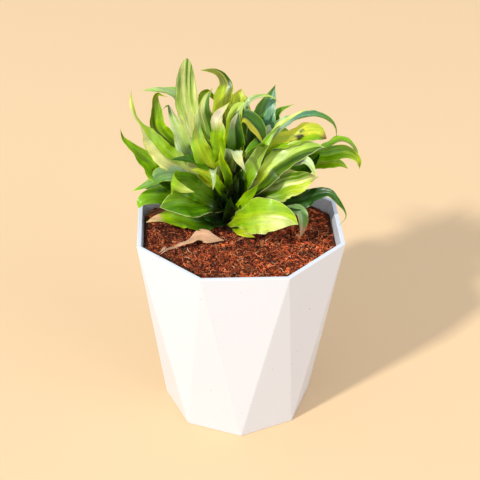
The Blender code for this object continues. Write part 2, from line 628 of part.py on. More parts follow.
def main():
    clear_scene()
    for make, name in ((make_pot, "planter_white"), (make_soil, "coco_peat"),
                       (make_leafy_cane, "leaf_green"), (make_dried_leaf, "dry_leaf")):
        item = make()
        item.data.materials.clear()
        item.data.materials.append(material(name))


main()
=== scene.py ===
"""Looks of a potted compact dracaena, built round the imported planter, peat, plant and dry leaf.

The leaves repeat the tables that the solids were made from, with finer blades. Two small ones in the
crown, small_lime and yellow_edge, lie a little further forward. Lengths in the tables are millimetres.
Z is up, the origin is under the planter, and -Y is the front.
"""

import math
import random

import bpy
import numpy as np
from mathutils import Matrix, Vector, noise


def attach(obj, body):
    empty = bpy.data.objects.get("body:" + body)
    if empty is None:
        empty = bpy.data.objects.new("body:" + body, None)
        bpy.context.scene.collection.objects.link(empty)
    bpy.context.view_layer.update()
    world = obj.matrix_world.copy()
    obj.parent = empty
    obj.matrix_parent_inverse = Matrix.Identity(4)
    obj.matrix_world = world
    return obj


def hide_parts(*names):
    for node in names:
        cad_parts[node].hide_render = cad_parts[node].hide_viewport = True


MM = 0.001

# Camera, as the photo was taken
CAMERA_TARGET = (0.5, 0.0, 120.4)
CAMERA_DISTANCE = 0.735
CAMERA_ELEVATION = 32.0
CAMERA_AZIMUTH = -3.2
CAMERA_ROLL = 0.7
FOCAL_PIXELS = 1164.0
FRAME_PIXELS = 480.0
SENSOR = 36.0
CLIP_START = 0.01

# Floor, sky and lights in metres and watts. Each light has its place, size, power and colour
FLOOR_COLOUR = (0.79, 0.56, 0.318, 1.0)
FLOOR_REACH = 3.0
SKY_COLOUR = (0.86, 0.91, 1.0, 1.0)
SKY_STRENGTH = 0.82
LIGHT_TARGET = (0.0, 0.0, 0.13)
LIGHTS = {
    "key": ((-4.2, -3.9, 4.4), 0.45, 430.0, (1.0, 0.975, 0.93)),
    "fill": ((1.6, -1.4, 1.3), 1.6, 15.0, (0.86, 0.84, 1.0)),
}

# Planter and fill, as in the solids
RIM_FLATS = 127.0
BASE_FLATS = 89.5
POT_HEIGHT = 133.0
WALL = 2.8
FLOOR = 3.0
SIDES = 8
FIT_GAP = 0.3
SOIL_LEVEL = 124.0
SOIL_BUMP = 1.1
SOIL_BUMP_SIZE = 7.0
SOIL_GRAIN = 0.5
SOIL_GRAIN_FINENESS = 2.3
CANE_AT = (-6.0, 8.0)

# Noise on the fill: the size of its clumps, the layer it is read from, and its strength
CLODS = (4.1, 4.0, 1.5)
CRUMBLE = (1.7, 9.0, 1.1)
WIDE_PATCHES = (7.0, 2.0, 1.0)
SMALL_PATCHES = (2.6, 6.0, 0.6)

# Finer peat: it is heaped at the left, lighter at the right with painted light, darker at the left
# with painted shade under the leaves, and smoother along the wall
PEAT_RINGS = 84
PEAT_STEPS = 40
HEAP = 4.5
HEAP_FROM_TO = (-30.0, -58.0)
RIGHT_PAINTED_LIGHT = 0.4
RIGHT_PAINTED_LIGHT_FROM_TO = (5.0, 40.0)
LEFT_PAINTED_SHADE = 0.2
LEFT_PAINTED_SHADE_FROM_TO = (-15.0, -45.0)
DARK_PATCH = 0.45
PATCH_CONTRAST = 0.45
WALL_ROUGHNESS = 0.35
RINGS_TO_ROUGH = 4

# Loose husk: its tones, and the limits that its sizes and places are drawn between
HUSK_TONES = ((0.034, 0.007, 0.003), (0.16, 0.026, 0.009), (0.43, 0.07, 0.018), (0.56, 0.117, 0.03),
              (0.56, 0.185, 0.064), (0.32, 0.052, 0.022))
PALE_TONES = ((0.55, 0.32, 0.17), (0.6, 0.38, 0.22), (0.45, 0.22, 0.1))
PALE_SHARE = 0.06
CORNER_INSET = 1.5
CRUMB_SEED = 21
CRUMB_COUNT = 9400
CRUMB_INSET = 2.5
CRUMB_RADII = (0.3, 0.36, 0.43, 0.52, 0.64, 0.85)
CRUMB_LIFT = (0.1, 0.7)
CRUMB_SHAPE = ((0.5, 1.6), (0.5, 1.3), (0.4, 0.9))
CRUMB_CORNERS = (0.5, 1.35)
CRUMB_SPIN = 6.28
FIBRE_SEED = 34
FIBRE_COUNT = 3000
FIBRE_INSET = 3.5
FIBRE_END_INSET = 1.6
FIBRE_BEND = 0.45
FIBRE_STEPS = (3, 6)
FIBRE_STRIDE = (0.5, 1.3)
FIBRE_LIFT = 0.5
FIBRE_ARCH = (0.3, 1.0)
FIBRE_RADII = (0.1, 0.3)
FIBRE_SIDES = 3
FIBRE_END = 0.45
FIBRE_ASIDE = (0.03, 0.05, 1.0)

# Leaf blades, as in the solids
BLADE_FOLD = 26.0
BLADE_WAVE = 0.09
EDGE_PHASE = 1.3
ROOT_SHARE = 0.3
PATH_FINENESS = 16
FRONT_AND_UP = np.array((0.0, -0.85, 0.53)) / math.hypot(0.85, 0.53)

# Finer blades: mesh, thickness, keel under the midrib, and clasp round the cane
BLADE_STEP = 1.5
FEWEST_STATIONS = 22
MOST_STATIONS = 72
COLUMNS = 17
LEAF_THICKNESS = 0.42
TIP_WIDTH = 0.25
EDGE_POWER = 6
THIN_HALF = 1.2
RIB_SOFTNESS = 0.16
KEEL = 0.35
KEEL_HALF = 0.6
CLASP_ANGLE = 62.0
CLASP_SHARE = 0.22
CLASP_POWER = 1.5
BEND_SOFTNESS = 0.06
SIDE_CORNERS = (((0, 0), (0, 1), (1, 1), (1, 0)), ((0, 0), (1, 0), (1, 1), (0, 1)))
BLADE_VALUES = {"tone": "FLOAT_COLOR", "streak": "FLOAT_COLOR", "margin": "FLOAT_COLOR",
                "place": "FLOAT_VECTOR", "from_edge": "FLOAT"}

# Finer blades: kinks, quick waves, crinkles, notches and pleats, most of which fade where it is narrow
NARROW_HALF = 3.0
KINK = 0.7
KINK_LENGTHS = (14.0, 30.0)
QUICK_WAVES = (1.8, 2.6)
QUICK_SHARE = (0.2, 0.5)
QUICK_PHASE = 6.3
CRINKLE = 0.7
CRINKLE_LENGTHS = (4.5, 10.0)
EDGE_NOTCH = 0.06
PLEAT = 0.16
PLEAT_LENGTHS = (2.6, 5.0)

# Colours on a blade
# The crown's painted shade: how dark a blade is made at its root, and the share where it starts to lighten
CROWN_PAINTED_SHADE = 0.16
SHADE_FROM = 0.08
HALF_SHARE = 0.94
HALF_SOFTNESS = 0.16
TIP_SOFTNESS = (0.05, 0.02)
SPOT_SOFTNESS = (1.15, 0.75)
SPOT_LOBES = (3, 7)
SPOT_RAGGED = (0.3, 0.2)
SEED_GAP = 3.7
MAP_SLACK = 1.08
MAP_ACROSS = (0.04, 0.96)
MAP_ALONG = (0.01, 0.99)

# Patterns on a leaf: how fine they are across and along the blade, and from blade to blade. Streaks
# have the range of noise that they show in and their strength as well, broad ones first
STREAKS = (((0.36, 0.014, 1.0), 0.44, 0.6, 1.0), ((1.5, 0.03, 1.0), 0.5, 0.64, 0.45))
VEINS = (4.5, 0.03, 1.0)
VEIN_SHADES = (0.78, 1.14)
MOTTLE = (0.25, 0.09, 1.0)
MOTTLE_SHADES = (0.74, 1.12)
SHEEN_PATCHES = (0.6, 0.12, 1.0)
MARGIN_WIDTHS = (0.1, 0.5)
UNDER_PALE = 0.1
MIDDLE_RANGE = (0.3, 0.7)

# Surfaces of leaves: what they all have, and what differs
LEAF_BODY = {"Subsurface Radius": (0.5, 0.9, 0.2), "Subsurface Scale": MM, "Coat Roughness": 0.26,
             "Specular IOR Level": 0.27}
WAXY_SURFACE = {"roughness": (0.3, 0.46), "glow": 0.25, "coat": 0.22}
DRY_SURFACE = {"roughness": (0.6, 0.8), "glow": 0.1, "coat": 0.0}
WITHERED_SURFACE = {"roughness": (0.7, 0.9), "glow": 0.0, "coat": 0.0}

# Patterns of the other surfaces, as fineness per metre and detail, and colours in linear values
PLANTER_CLOUDS = (14.0, 4.0)
PLANTER_WHITES = ((0.68, 0.725, 0.79), (0.725, 0.77, 0.835))
PLANTER_SHEEN_PATCHES = (60.0, 5.0)
PLANTER_ROUGHNESS = (0.28, 0.42)
PLANTER_GRAIN = (260.0, 3.0)
DUST_SPECKS = (300.0, 1.0)
DUST_RANGE = (0.79, 0.8)
DUST_SHARE = 0.5
DUST_COLOUR = (0.35, 0.2, 0.12)
PEAT_LUMPS = (260.0, 6.0, 0.7)
PEAT_LUMP_RANGE = (0.32, 0.68)
# The near black of the peat bed is partly the peat's own dark and partly painted shade in the gaps between
# the crumbs
PEAT_COLOURS = ((0.008, 0.003, 0.002), (0.12, 0.026, 0.01))
PEAT_GRAIN = (1100.0, 3.0)
PEAT_GRAIN_RANGE = (0.35, 0.7)
PEAT_GRAIN_SHARE = 0.35
PEAT_GRAIN_COLOUR = (0.36, 0.09, 0.03)
HUSK_GRAIN = (1600.0, 3.0)
HUSK_SHADES = (0.65, 1.25)
HUSK_ROUGHNESS = 0.85
BARK_ROUGHNESS = 0.7

# Relief of each surface, as its strength and its depth in metres
LEAF_RELIEF = (0.35, 0.0003)
PLANTER_RELIEF = (0.08, 0.0002)
PEAT_RELIEF = (0.6, 0.0005)
HUSK_RELIEF = (0.4, 0.0002)

# Colours by name, as they look in daylight, from 0 to 255
PALETTE = {
    "lime": (140, 188, 0),
    "yellow_lime": (190, 208, 18),
    "yellow": (226, 216, 66),
    "green": (76, 128, 0),
    "dark": (32, 70, 2),
    "darkest": (10, 24, 2),
    "olive": (100, 116, 4),
    "glaucous": (124, 166, 88),
    "blue_green": (80, 128, 64),
    "blue_white": (186, 206, 164),
    "blue_shine": (150, 172, 176),
    "pale_green": (182, 210, 86),
    "cream": (234, 236, 150),
    "pinkish": (236, 220, 182),
    "tan": (242, 190, 148),
    "brown": (126, 82, 44),
    "bark": (60, 36, 22),
    "teal": (96, 154, 128),
}


def leaf(root, width, turns, way, widest=0.6, fold=BLADE_FOLD, waves=3.0, taper=1.9, tail=1.1,
         carried=False, base=ROOT_SHARE, rise=1.3):
    """One leaf. root is its height on the cane over the peat, and way is its midrib past the cane,
    as (x, y, z) in millimetres from the middle of the peat. turns are in degrees, evenly from the
    root to the tip: how far the blade is rolled from facing front and up, or from how it left the
    cane where it is carried. widest is the share of its length where it is widest, waves the number
    of waves along its edges, taper how blunt its tip is, tail how slender its very end is, base its
    width at the root as a share, and rise how slowly it widens from there."""
    return {"root": root, "width": width, "turns": turns, "way": way, "widest": widest, "fold": fold,
            "waves": waves, "taper": taper, "tail": tail, "carried": carried, "base": base, "rise": rise}


# Leaves that reach up and to the left
LEFT_LEAVES = {
    "spire": leaf(27, 14.5, (20, 5, 0), ((-13, 11, 37), (-23, 12, 58), (-30, 15, 75), (-32, 17, 89),
        (-32, 18, 102), (-31, 19, 112)), widest=0.68, fold=18, taper=2.0, tail=0.55, rise=1.9),
    "far_left": leaf(24, 15, (-10, -30, -30, -10, 80, 0), ((-20, 4, 34.5), (-33, 0.5, 47), (-46, -3, 60),
        (-54, -4, 71), (-60, -3, 81), (-64, -1, 91), (-64, 2, 99.5)), widest=0.38, taper=2.2, tail=1.3,
        base=0.4, rise=1.0, fold=4),
    "curl_left": leaf(26, 10.5, (30, 10, 0, 20, 60), ((-19, 11, 38), (-38, 10, 56), (-45, 11, 64),
        (-50, 13, 71), (-51, 15, 80), (-51, 17, 87), (-49, 18, 90), (-46, 17, 89), (-43, 17, 88)),
        widest=0.6, taper=3.2, tail=1.6),
    "behind_spire": leaf(28, 15, (20, 35, 55), ((-14, 12, 40), (-22, 20, 59), (-30, 27, 73), (-38, 31, 81),
        (-49, 34, 84), (-60, 37, 83))),
    "striped": leaf(22, 13, (0, -5, -5, -40), ((-17, 8, 34), (-27, 4, 50), (-34, 1, 65), (-38, 0, 77),
        (-41, 0, 87), (-43, -1, 91), (-46, -3, 89)), widest=0.45, taper=1.6, fold=18),
    "low_left": leaf(17, 16, (30, 15, 15, 50), ((-19, 8, 23), (-34, 4, 32), (-46, 0, 42), (-54, -2, 51),
        (-61, -4, 60), (-67, -6, 68), (-70, -7, 73), (-71, -7, 79)), widest=0.5, taper=1.7),
    "glaucous_left": leaf(19, 15, (30, 20, 40), ((-18, 5, 29), (-29, 0, 40), (-38, -3, 46), (-46, -5, 46),
        (-53, -7, 43), (-59, -8, 40), (-66, -9, 38)), widest=0.5),
    "folded_front_left": leaf(15, 15.5, (0, -5, -5), ((-13, 2, 22), (-20, -2, 29), (-25, -5, 35),
        (-29, -8, 40), (-34, -11, 44), (-39, -14, 47), (-42, -17.5, 48), (-40, -20.5, 47.5),
        (-35, -21.5, 46), (-28, -22, 44)), widest=0.76, fold=8, taper=1.0, tail=1.0, carried=True),
    "under_left": leaf(12, 15, (30, 20, 40), ((-21, 4, 21), (-33, 0, 26), (-44, -4, 30), (-54, -7, 31),
        (-60, -9, 30), (-62, -9, 26)), widest=0.75, taper=2.6),
    "broad_dark": leaf(14, 20, (20, 15, 0), ((-16, 3, 21), (-25, -3, 25), (-34, -9, 29), (-42, -13, 31),
        (-49, -15, 30)), widest=0.65, waves=3.6, taper=2.3),
    "lowest_left": leaf(3, 15, (30, 30, 30), ((-18, 4, 6), (-27, 2, 8), (-36, 0, 11), (-44, -2, 14),
        (-52, -4, 15), (-58, -6, 14)), widest=0.5),
    "shaded_front": leaf(7, 15, (10, 10, 10), ((-11, 2, 12), (-17, -4, 16), (-23, -9, 19))),
    "narrow_left": leaf(23, 11, (30, 40, 40), ((-16, 0, 46), (-24, -5, 54), (-33, -8, 58), (-42, -10, 60))),
    "small_lime": leaf(20, 8, (20, 20, 20), ((-15, -5, 40.5), (-23, -9, 50), (-30, -12, 54)), widest=0.7),
    "hanging_blue": leaf(21, 7, (180, 180, 170), ((-10, 3, 37), (-14, -4, 47), (-16, -9, 51.5),
        (-16, -12, 51), (-16, -14, 46), (-17, -14, 41)), widest=0.7, taper=1.1, tail=1.0, carried=True),
}

# Leaves that stand up in the middle
MIDDLE_LEAVES = {
    "lime_middle": leaf(25, 9.5, (0, -5, 0, 5, 10), ((-10, 6, 40), (-12, 0, 54), (-13, -1, 64),
        (-14, -2, 75), (-15, -2, 79.5), (-14, 0, 82), (-12, 4, 83.5), (-9, 7, 85.5), (-6, 9, 88)),
        widest=0.66, taper=1.8),
    "dark_lens": leaf(27, 11.5, (0, 10, 10), ((-4, 9, 36), (-3, 8, 53), (-3, 7, 65), (-3, 7, 74),
        (-1, 9, 81)), widest=0.65, taper=2.2, tail=0.8),
    "hanging_pale": leaf(23, 9.5, (180, 180, 180), ((-7, 4, 38), (-6, -1, 51), (-5, -4, 59.5),
        (-4, -7, 63.5), (-2.5, -9.5, 61.5), (0, -11, 57), (3, -12, 51)), widest=0.76, fold=14, taper=1.0,
        tail=1.0, carried=True),
    "broad_lime_left": leaf(23, 18, (10, 5, 20), ((-11, 4, 36), (-18, -1, 48), (-23, -4, 60), (-26, -4, 73),
        (-26, -3, 82), (-26, -1, 90)), widest=0.42, taper=1.1, fold=18),
    "pale_left_middle": leaf(28, 10, (10, -10, 0), ((-11, 10, 41), (-15, 12, 58), (-19, 13, 69),
        (-21, 14, 79), (-20, 16, 87), (-16, 18, 93)), widest=0.65),
    "behind_middle": leaf(30, 8, (0, 20, 40), ((-10, 12, 45), (-18, 18, 68), (-22, 22, 80), (-23, 24, 85),
        (-20, 26, 87), (-16, 27, 84), (-13, 27, 78)), widest=0.7),
    "top_curl": leaf(30, 13, (0, 0, -5, 0, 30), ((-8, 14, 43), (-12, 18, 58), (-11, 20, 65), (-10, 23, 75),
        (-9, 26, 84), (-8, 29, 90), (-10, 31, 94.5), (-15, 32, 97.5), (-23, 33, 98)), widest=0.68,
        taper=0.9, tail=0.9, fold=22, base=0.1),
    "lime_point": leaf(30, 16, (0, 0, 10), ((-4, 14, 43), (-1, 20, 64), (0, 24, 74), (0, 27, 80),
        (2, 30, 87)), widest=0.78, taper=1.6, tail=0.8),
    "pale_face": leaf(28, 11, (0, 10, -20), ((-5, 8, 44), (-5, 9, 60), (-3, 11, 73), (-1, 13, 81),
        (3, 15, 85)), widest=0.72, taper=2.2, tail=0.7),
    "yellow_edge": leaf(20, 6, (10, 0, -20), ((-7, 1.5, 36), (-9, -3, 49), (-11.5, -5.5, 58),
        (-12, -6.5, 66)), waves=5.0),
    "small_green": leaf(20, 8.5, (180, 170, 160), ((-2, 7, 33), (5, 7, 46), (9, 6, 57), (11, 3, 62.5),
        (10, -0.5, 65), (5, -3.5, 62.5), (1, -5, 57.5)), widest=0.74, fold=22, taper=1.1, tail=1.0,
        carried=True),
    "yellow_fold": leaf(26, 12, (0, -10, -20, -20), ((-3, 9, 45), (-2, 10, 58), (-1, 11, 68), (0.5, 10, 75),
        (3, 9, 77), (6, 8, 75.5), (10, 6, 71), (13, 5, 66), (15, 4, 61)), widest=0.8, fold=34, taper=1.8),
    "thin_arc": leaf(30, 6.5, (0, -40, -60), ((-1, 13, 43), (4, 17, 65), (5, 19, 77), (7, 20, 83),
        (12, 21, 85), (19, 22, 85), (25, 22, 81))),
}

# Leaves that reach up and to the right
RIGHT_LEAVES = {
    "blue_point": leaf(28, 17, (-10, 0, 0), ((1, 14, 38), (8, 19, 52), (14, 24, 64), (17, 27, 74),
        (20, 30, 81), (23, 33, 88)), widest=0.68, taper=1.5),
    "dark_right": leaf(26, 14, (-10, -20, -30), ((2, 14, 35), (12, 18, 47), (18, 22, 58), (23, 26, 67),
        (27, 29, 73), (35, 32, 75)), widest=0.42, taper=1.3),
    "dark_tip": leaf(25, 9, (-10, -10, 0), ((0, 12, 38), (5, 14, 50), (8, 16, 62), (11, 17, 68),
        (14, 18, 73), (17, 20, 78)), widest=0.6),
    "long_arch": leaf(21, 12, (-20, -50, -50, -60), ((5, 9, 31), (10, 12, 42), (15, 15, 52), (20, 17, 60),
        (28, 20, 66), (37, 22, 70), (46, 23, 71), (54, 23, 69), (60, 23, 63), (61, 21, 54)), widest=0.5,
        fold=32, taper=1.4),
    "pale_tip": leaf(24, 5.5, (-20, -40, -50), ((6, 10, 34), (14, 8, 52), (22, 8, 69.7), (31, 9, 76.7),
        (38, 10, 80.7), (42, 11, 82.7)), fold=34),
    "yellow_right": leaf(21, 15, (-40, -60, -50, -35, -20), ((5, 8, 34), (16, 9, 52), (24, 11, 58),
        (32, 12, 60), (40, 13, 62.5), (47, 14, 63.5), (54, 14, 60)), widest=0.78, taper=3.4, waves=4.0,
        base=0.15),
    "blue_grey": leaf(20, 12, (-20, -40, -50), ((7, 13, 32), (18, 18, 44), (34, 23, 47), (46, 26, 46),
        (52, 27, 46), (57, 28, 46)), widest=0.65),
    "olive_arc": leaf(23, 9.5, (-20, -50, -80), ((3, 16, 32), (18, 24, 39), (35, 30, 41), (51, 33, 42),
        (60, 36, 44), (66, 38, 45.5), (71, 39, 44), (75, 38, 40.5), (77.5, 37, 35), (78, 35, 28.5)),
        widest=0.75, taper=2.0),
    "far_right": leaf(18, 12, (-20, -35, -30, 0), ((3, 15, 31), (18, 23, 39), (35, 30, 38), (54, 33, 37.5),
        (61, 34, 39), (69, 35, 39), (74, 35, 37), (78, 34, 33.5), (79, 33, 28)), widest=0.7, taper=2.2),
    "far_right_low": leaf(15, 10, (-20, -30, -20), ((5, 14, 27), (18, 21, 33), (35, 28, 33), (54, 31, 33),
        (61, 31, 33.5), (66, 31, 33), (71, 30, 30)), widest=0.75, taper=2.6),
    "pale_right": leaf(17, 17, (-20, -25, -25, -20, -10), ((6, 4, 29), (14, 1.5, 39.5), (22, 3, 48),
        (31, 4, 54), (40, 5.5, 57.3), (47, 7, 58.3), (52, 8, 57.2)), widest=0.56, fold=16, taper=2.2),
    "dark_wedge": leaf(13, 15, (-10, -15, -10), ((9, 13, 23), (20, 14, 27), (29, 15, 31), (37, 17, 36),
        (44, 18, 41), (49, 17, 46.5), (50, 16, 49.5)), widest=0.7, taper=3.0),
    "pale_hook": leaf(15, 6, (-20, -30, 0), ((10, 12, 32), (20, 10, 41), (29, 6, 45.8), (35, 3, 50.4),
        (39, 1, 52.4), (42, -1.5, 51.6), (44, -4, 48.8), (46, -6, 43.7)), widest=0.78),
    "lime_right": leaf(11, 20, (-10, 0, 0), ((4, 7, 22), (14, 4, 29), (25, 1, 34), (34, -1, 38),
        (41, -2, 41), (48, -3, 42.5)), taper=3.0, tail=1.4),
    "dark_low_right": leaf(8, 18, (-20, -30, -10, 10), ((7, 6, 16), (20, 4, 20), (32, 2, 22), (42, 0, 26),
        (50, -3, 31), (56, -6, 32), (61, -9, 27), (65, -12, 20), (61, -13, 14)), widest=0.42, taper=1.3,
        tail=1.9),
    "broad_front": leaf(4, 23, (-10, -5, 0), ((-7, -1, 8), (0, -7, 15), (7, -13, 20.5), (14, -18, 24.5),
        (22, -22, 26), (29, -25, 26), (34, -26, 23)), widest=0.64, taper=2.0, fold=16, base=0.03, rise=3.0,
        waves=4.0),
    "under_front": leaf(3, 6, (0, 0, 0), ((-3, 1, 5), (0, -7, 7.5), (5, -11, 7), (9, -12.5, 6)),
        widest=0.7),
    "hanging_tip": leaf(6, 7.5, (-10, -5, 0), ((6, 3, 10), (16, 0, 12), (25, -2, 16.5), (32, -4, 20),
        (36.5, -5, 20.5), (38.5, -7, 17), (39, -8, 11), (38.5, -8, 6), (37, -8, 1.5)), widest=0.72,
        taper=1.6),
    "narrow_v": leaf(9, 9, (-10, -20, -20), ((-3, 0, 15), (3, -3, 25), (8, -5, 34), (11, -6, 40)), fold=36),
    "green_middle": leaf(18, 11, (0, -5, -10), ((0, 4, 29), (4, 2, 41), (9, 2, 50), (13, 3, 59),
        (17, 4, 65), (21, 6, 70), (25, 9, 73)), widest=0.42, taper=1.5),
}

# The withered leaf at the left, narrow and dark
WITHERED_LEAF = leaf(3, 4, (0, 0, 0), ((-20, 9, 12), (-35, 11, 13), (-48, 12, 12), (-56, 8, 12),
                                       (-60, 5, 11)), widest=0.7, waves=1.0)

# Leaves behind, which go round the back of the cane by one turning angle, from low to high
BACK_LEAF_COUNT = 15
BACK_SEED = 11
BACK_WIDTH = 15.0
BACK_REACH = (62.0, 30.0)
BACK_RISE = (12.0, 52.0)
BACK_ROOTS = (6.0, 28.0)
BACK_SPREAD = 66.0
BACK_ARCH = ((0.2, 0.4), (0.5, 0.8), (0.8, 1.0), (1.05, 0.85))
BACK_REACH_SHARES = (0.9, 1.08)
BACK_RISE_SHARES = (0.9, 1.15)
BACK_WIDTH_SHARES = (0.8, 1.1)
BACK_TURN = 25
BACK_LOOK_SEED = 77
GOLDEN_SHARE = 0.618
FACING_UP_TURN = 50.0

# Short young sheaths round the crown
SHEATH_SEED = 5
SHEATH_COUNT = 21
SHEATH_ROOTS = (3, 24)
SHEATH_REACH = (9, 15)
SHEATH_RISE = (20, 30)
SHEATH_WIDTH = (8, 12)
SHEATH_ARCH = ((0.35, 0.25), (0.7, 0.6), (1.0, 1.0))

# The cane and the core of the crown, as heights over the peat and radii
CANE_PROFILE = ((-12.0, 4.4), (0.0, 4.5), (3.0, 4.4), (4.0, 4.8), (8.0, 5.2), (9.0, 5.6), (16.0, 6.6),
                (28.0, 6.4), (38.0, 4.6), (46.0, 2.0), (50.0, 0.4))
CANE_SIDES = 32
# Above BARK_TOP the core is painted darkest, as painted shade inside the crown
BARK_TOP = 6

# The shed leaf on the peat and over the rim, with a second prong
DRIED_TURNS = (30, 35, 40, 50, 50)
DRIED_LEAF = leaf(0, 11.5, DRIED_TURNS,
                  ((-10, -10, 2.5), (-17, -9.8, 3.8), (-23, -8.5, 3.9), (-27, -9.8, 4), (-30, -12, 4.2),
                   (-35, -16.5, 5.2), (-39, -21, 6), (-45, -30, 9), (-50, -38, 10.5), (-54, -44, 11)),
                  widest=0.24, fold=12.0, waves=1.5, taper=0.75, tail=2.8, base=0.06, rise=1.6)
DRIED_PRONG = leaf(0, 2.0, DRIED_TURNS,
                   ((-45.5, -25, 8), (-47, -29, 9.5), (-49, -34, 10.5), (-51, -38.5, 11.5)),
                   widest=0.3, fold=20.0, waves=0.5, taper=1.0, tail=1.2)
DRIED_CLASP = 20.0
DRIED_SEEDS = (901, 902)
DRIED_THICKNESS = (0.35, 0.3)


def look(body, streak="cream", streaks=0.3, margin="yellow_lime", margins=0.6, half=None, side=0,
         tip=None, tip_from=0.93, shade=CROWN_PAINTED_SHADE, shade_to=0.52, spots=()):
    """Colours of a leaf. body names them from root to tip, streaks run along it, half is the colour
    of the blade on one side of the midrib, and tip is that of the end past the share tip_from. shade
    is painted shade in the crown: how dark the blade, its streaks and its margin are made at the
    root, lifting by the share shade_to. spots are withered, each with its share of the length, its
    place across from -1 to 1, and its radius in millimetres."""
    return {"body": body.split(), "streak": streak, "streaks": streaks, "margin": margin,
            "margins": margins, "half": half, "side": side, "tip": tip, "tip_from": tip_from,
            "shade": shade, "shade_to": shade_to, "spots": spots}


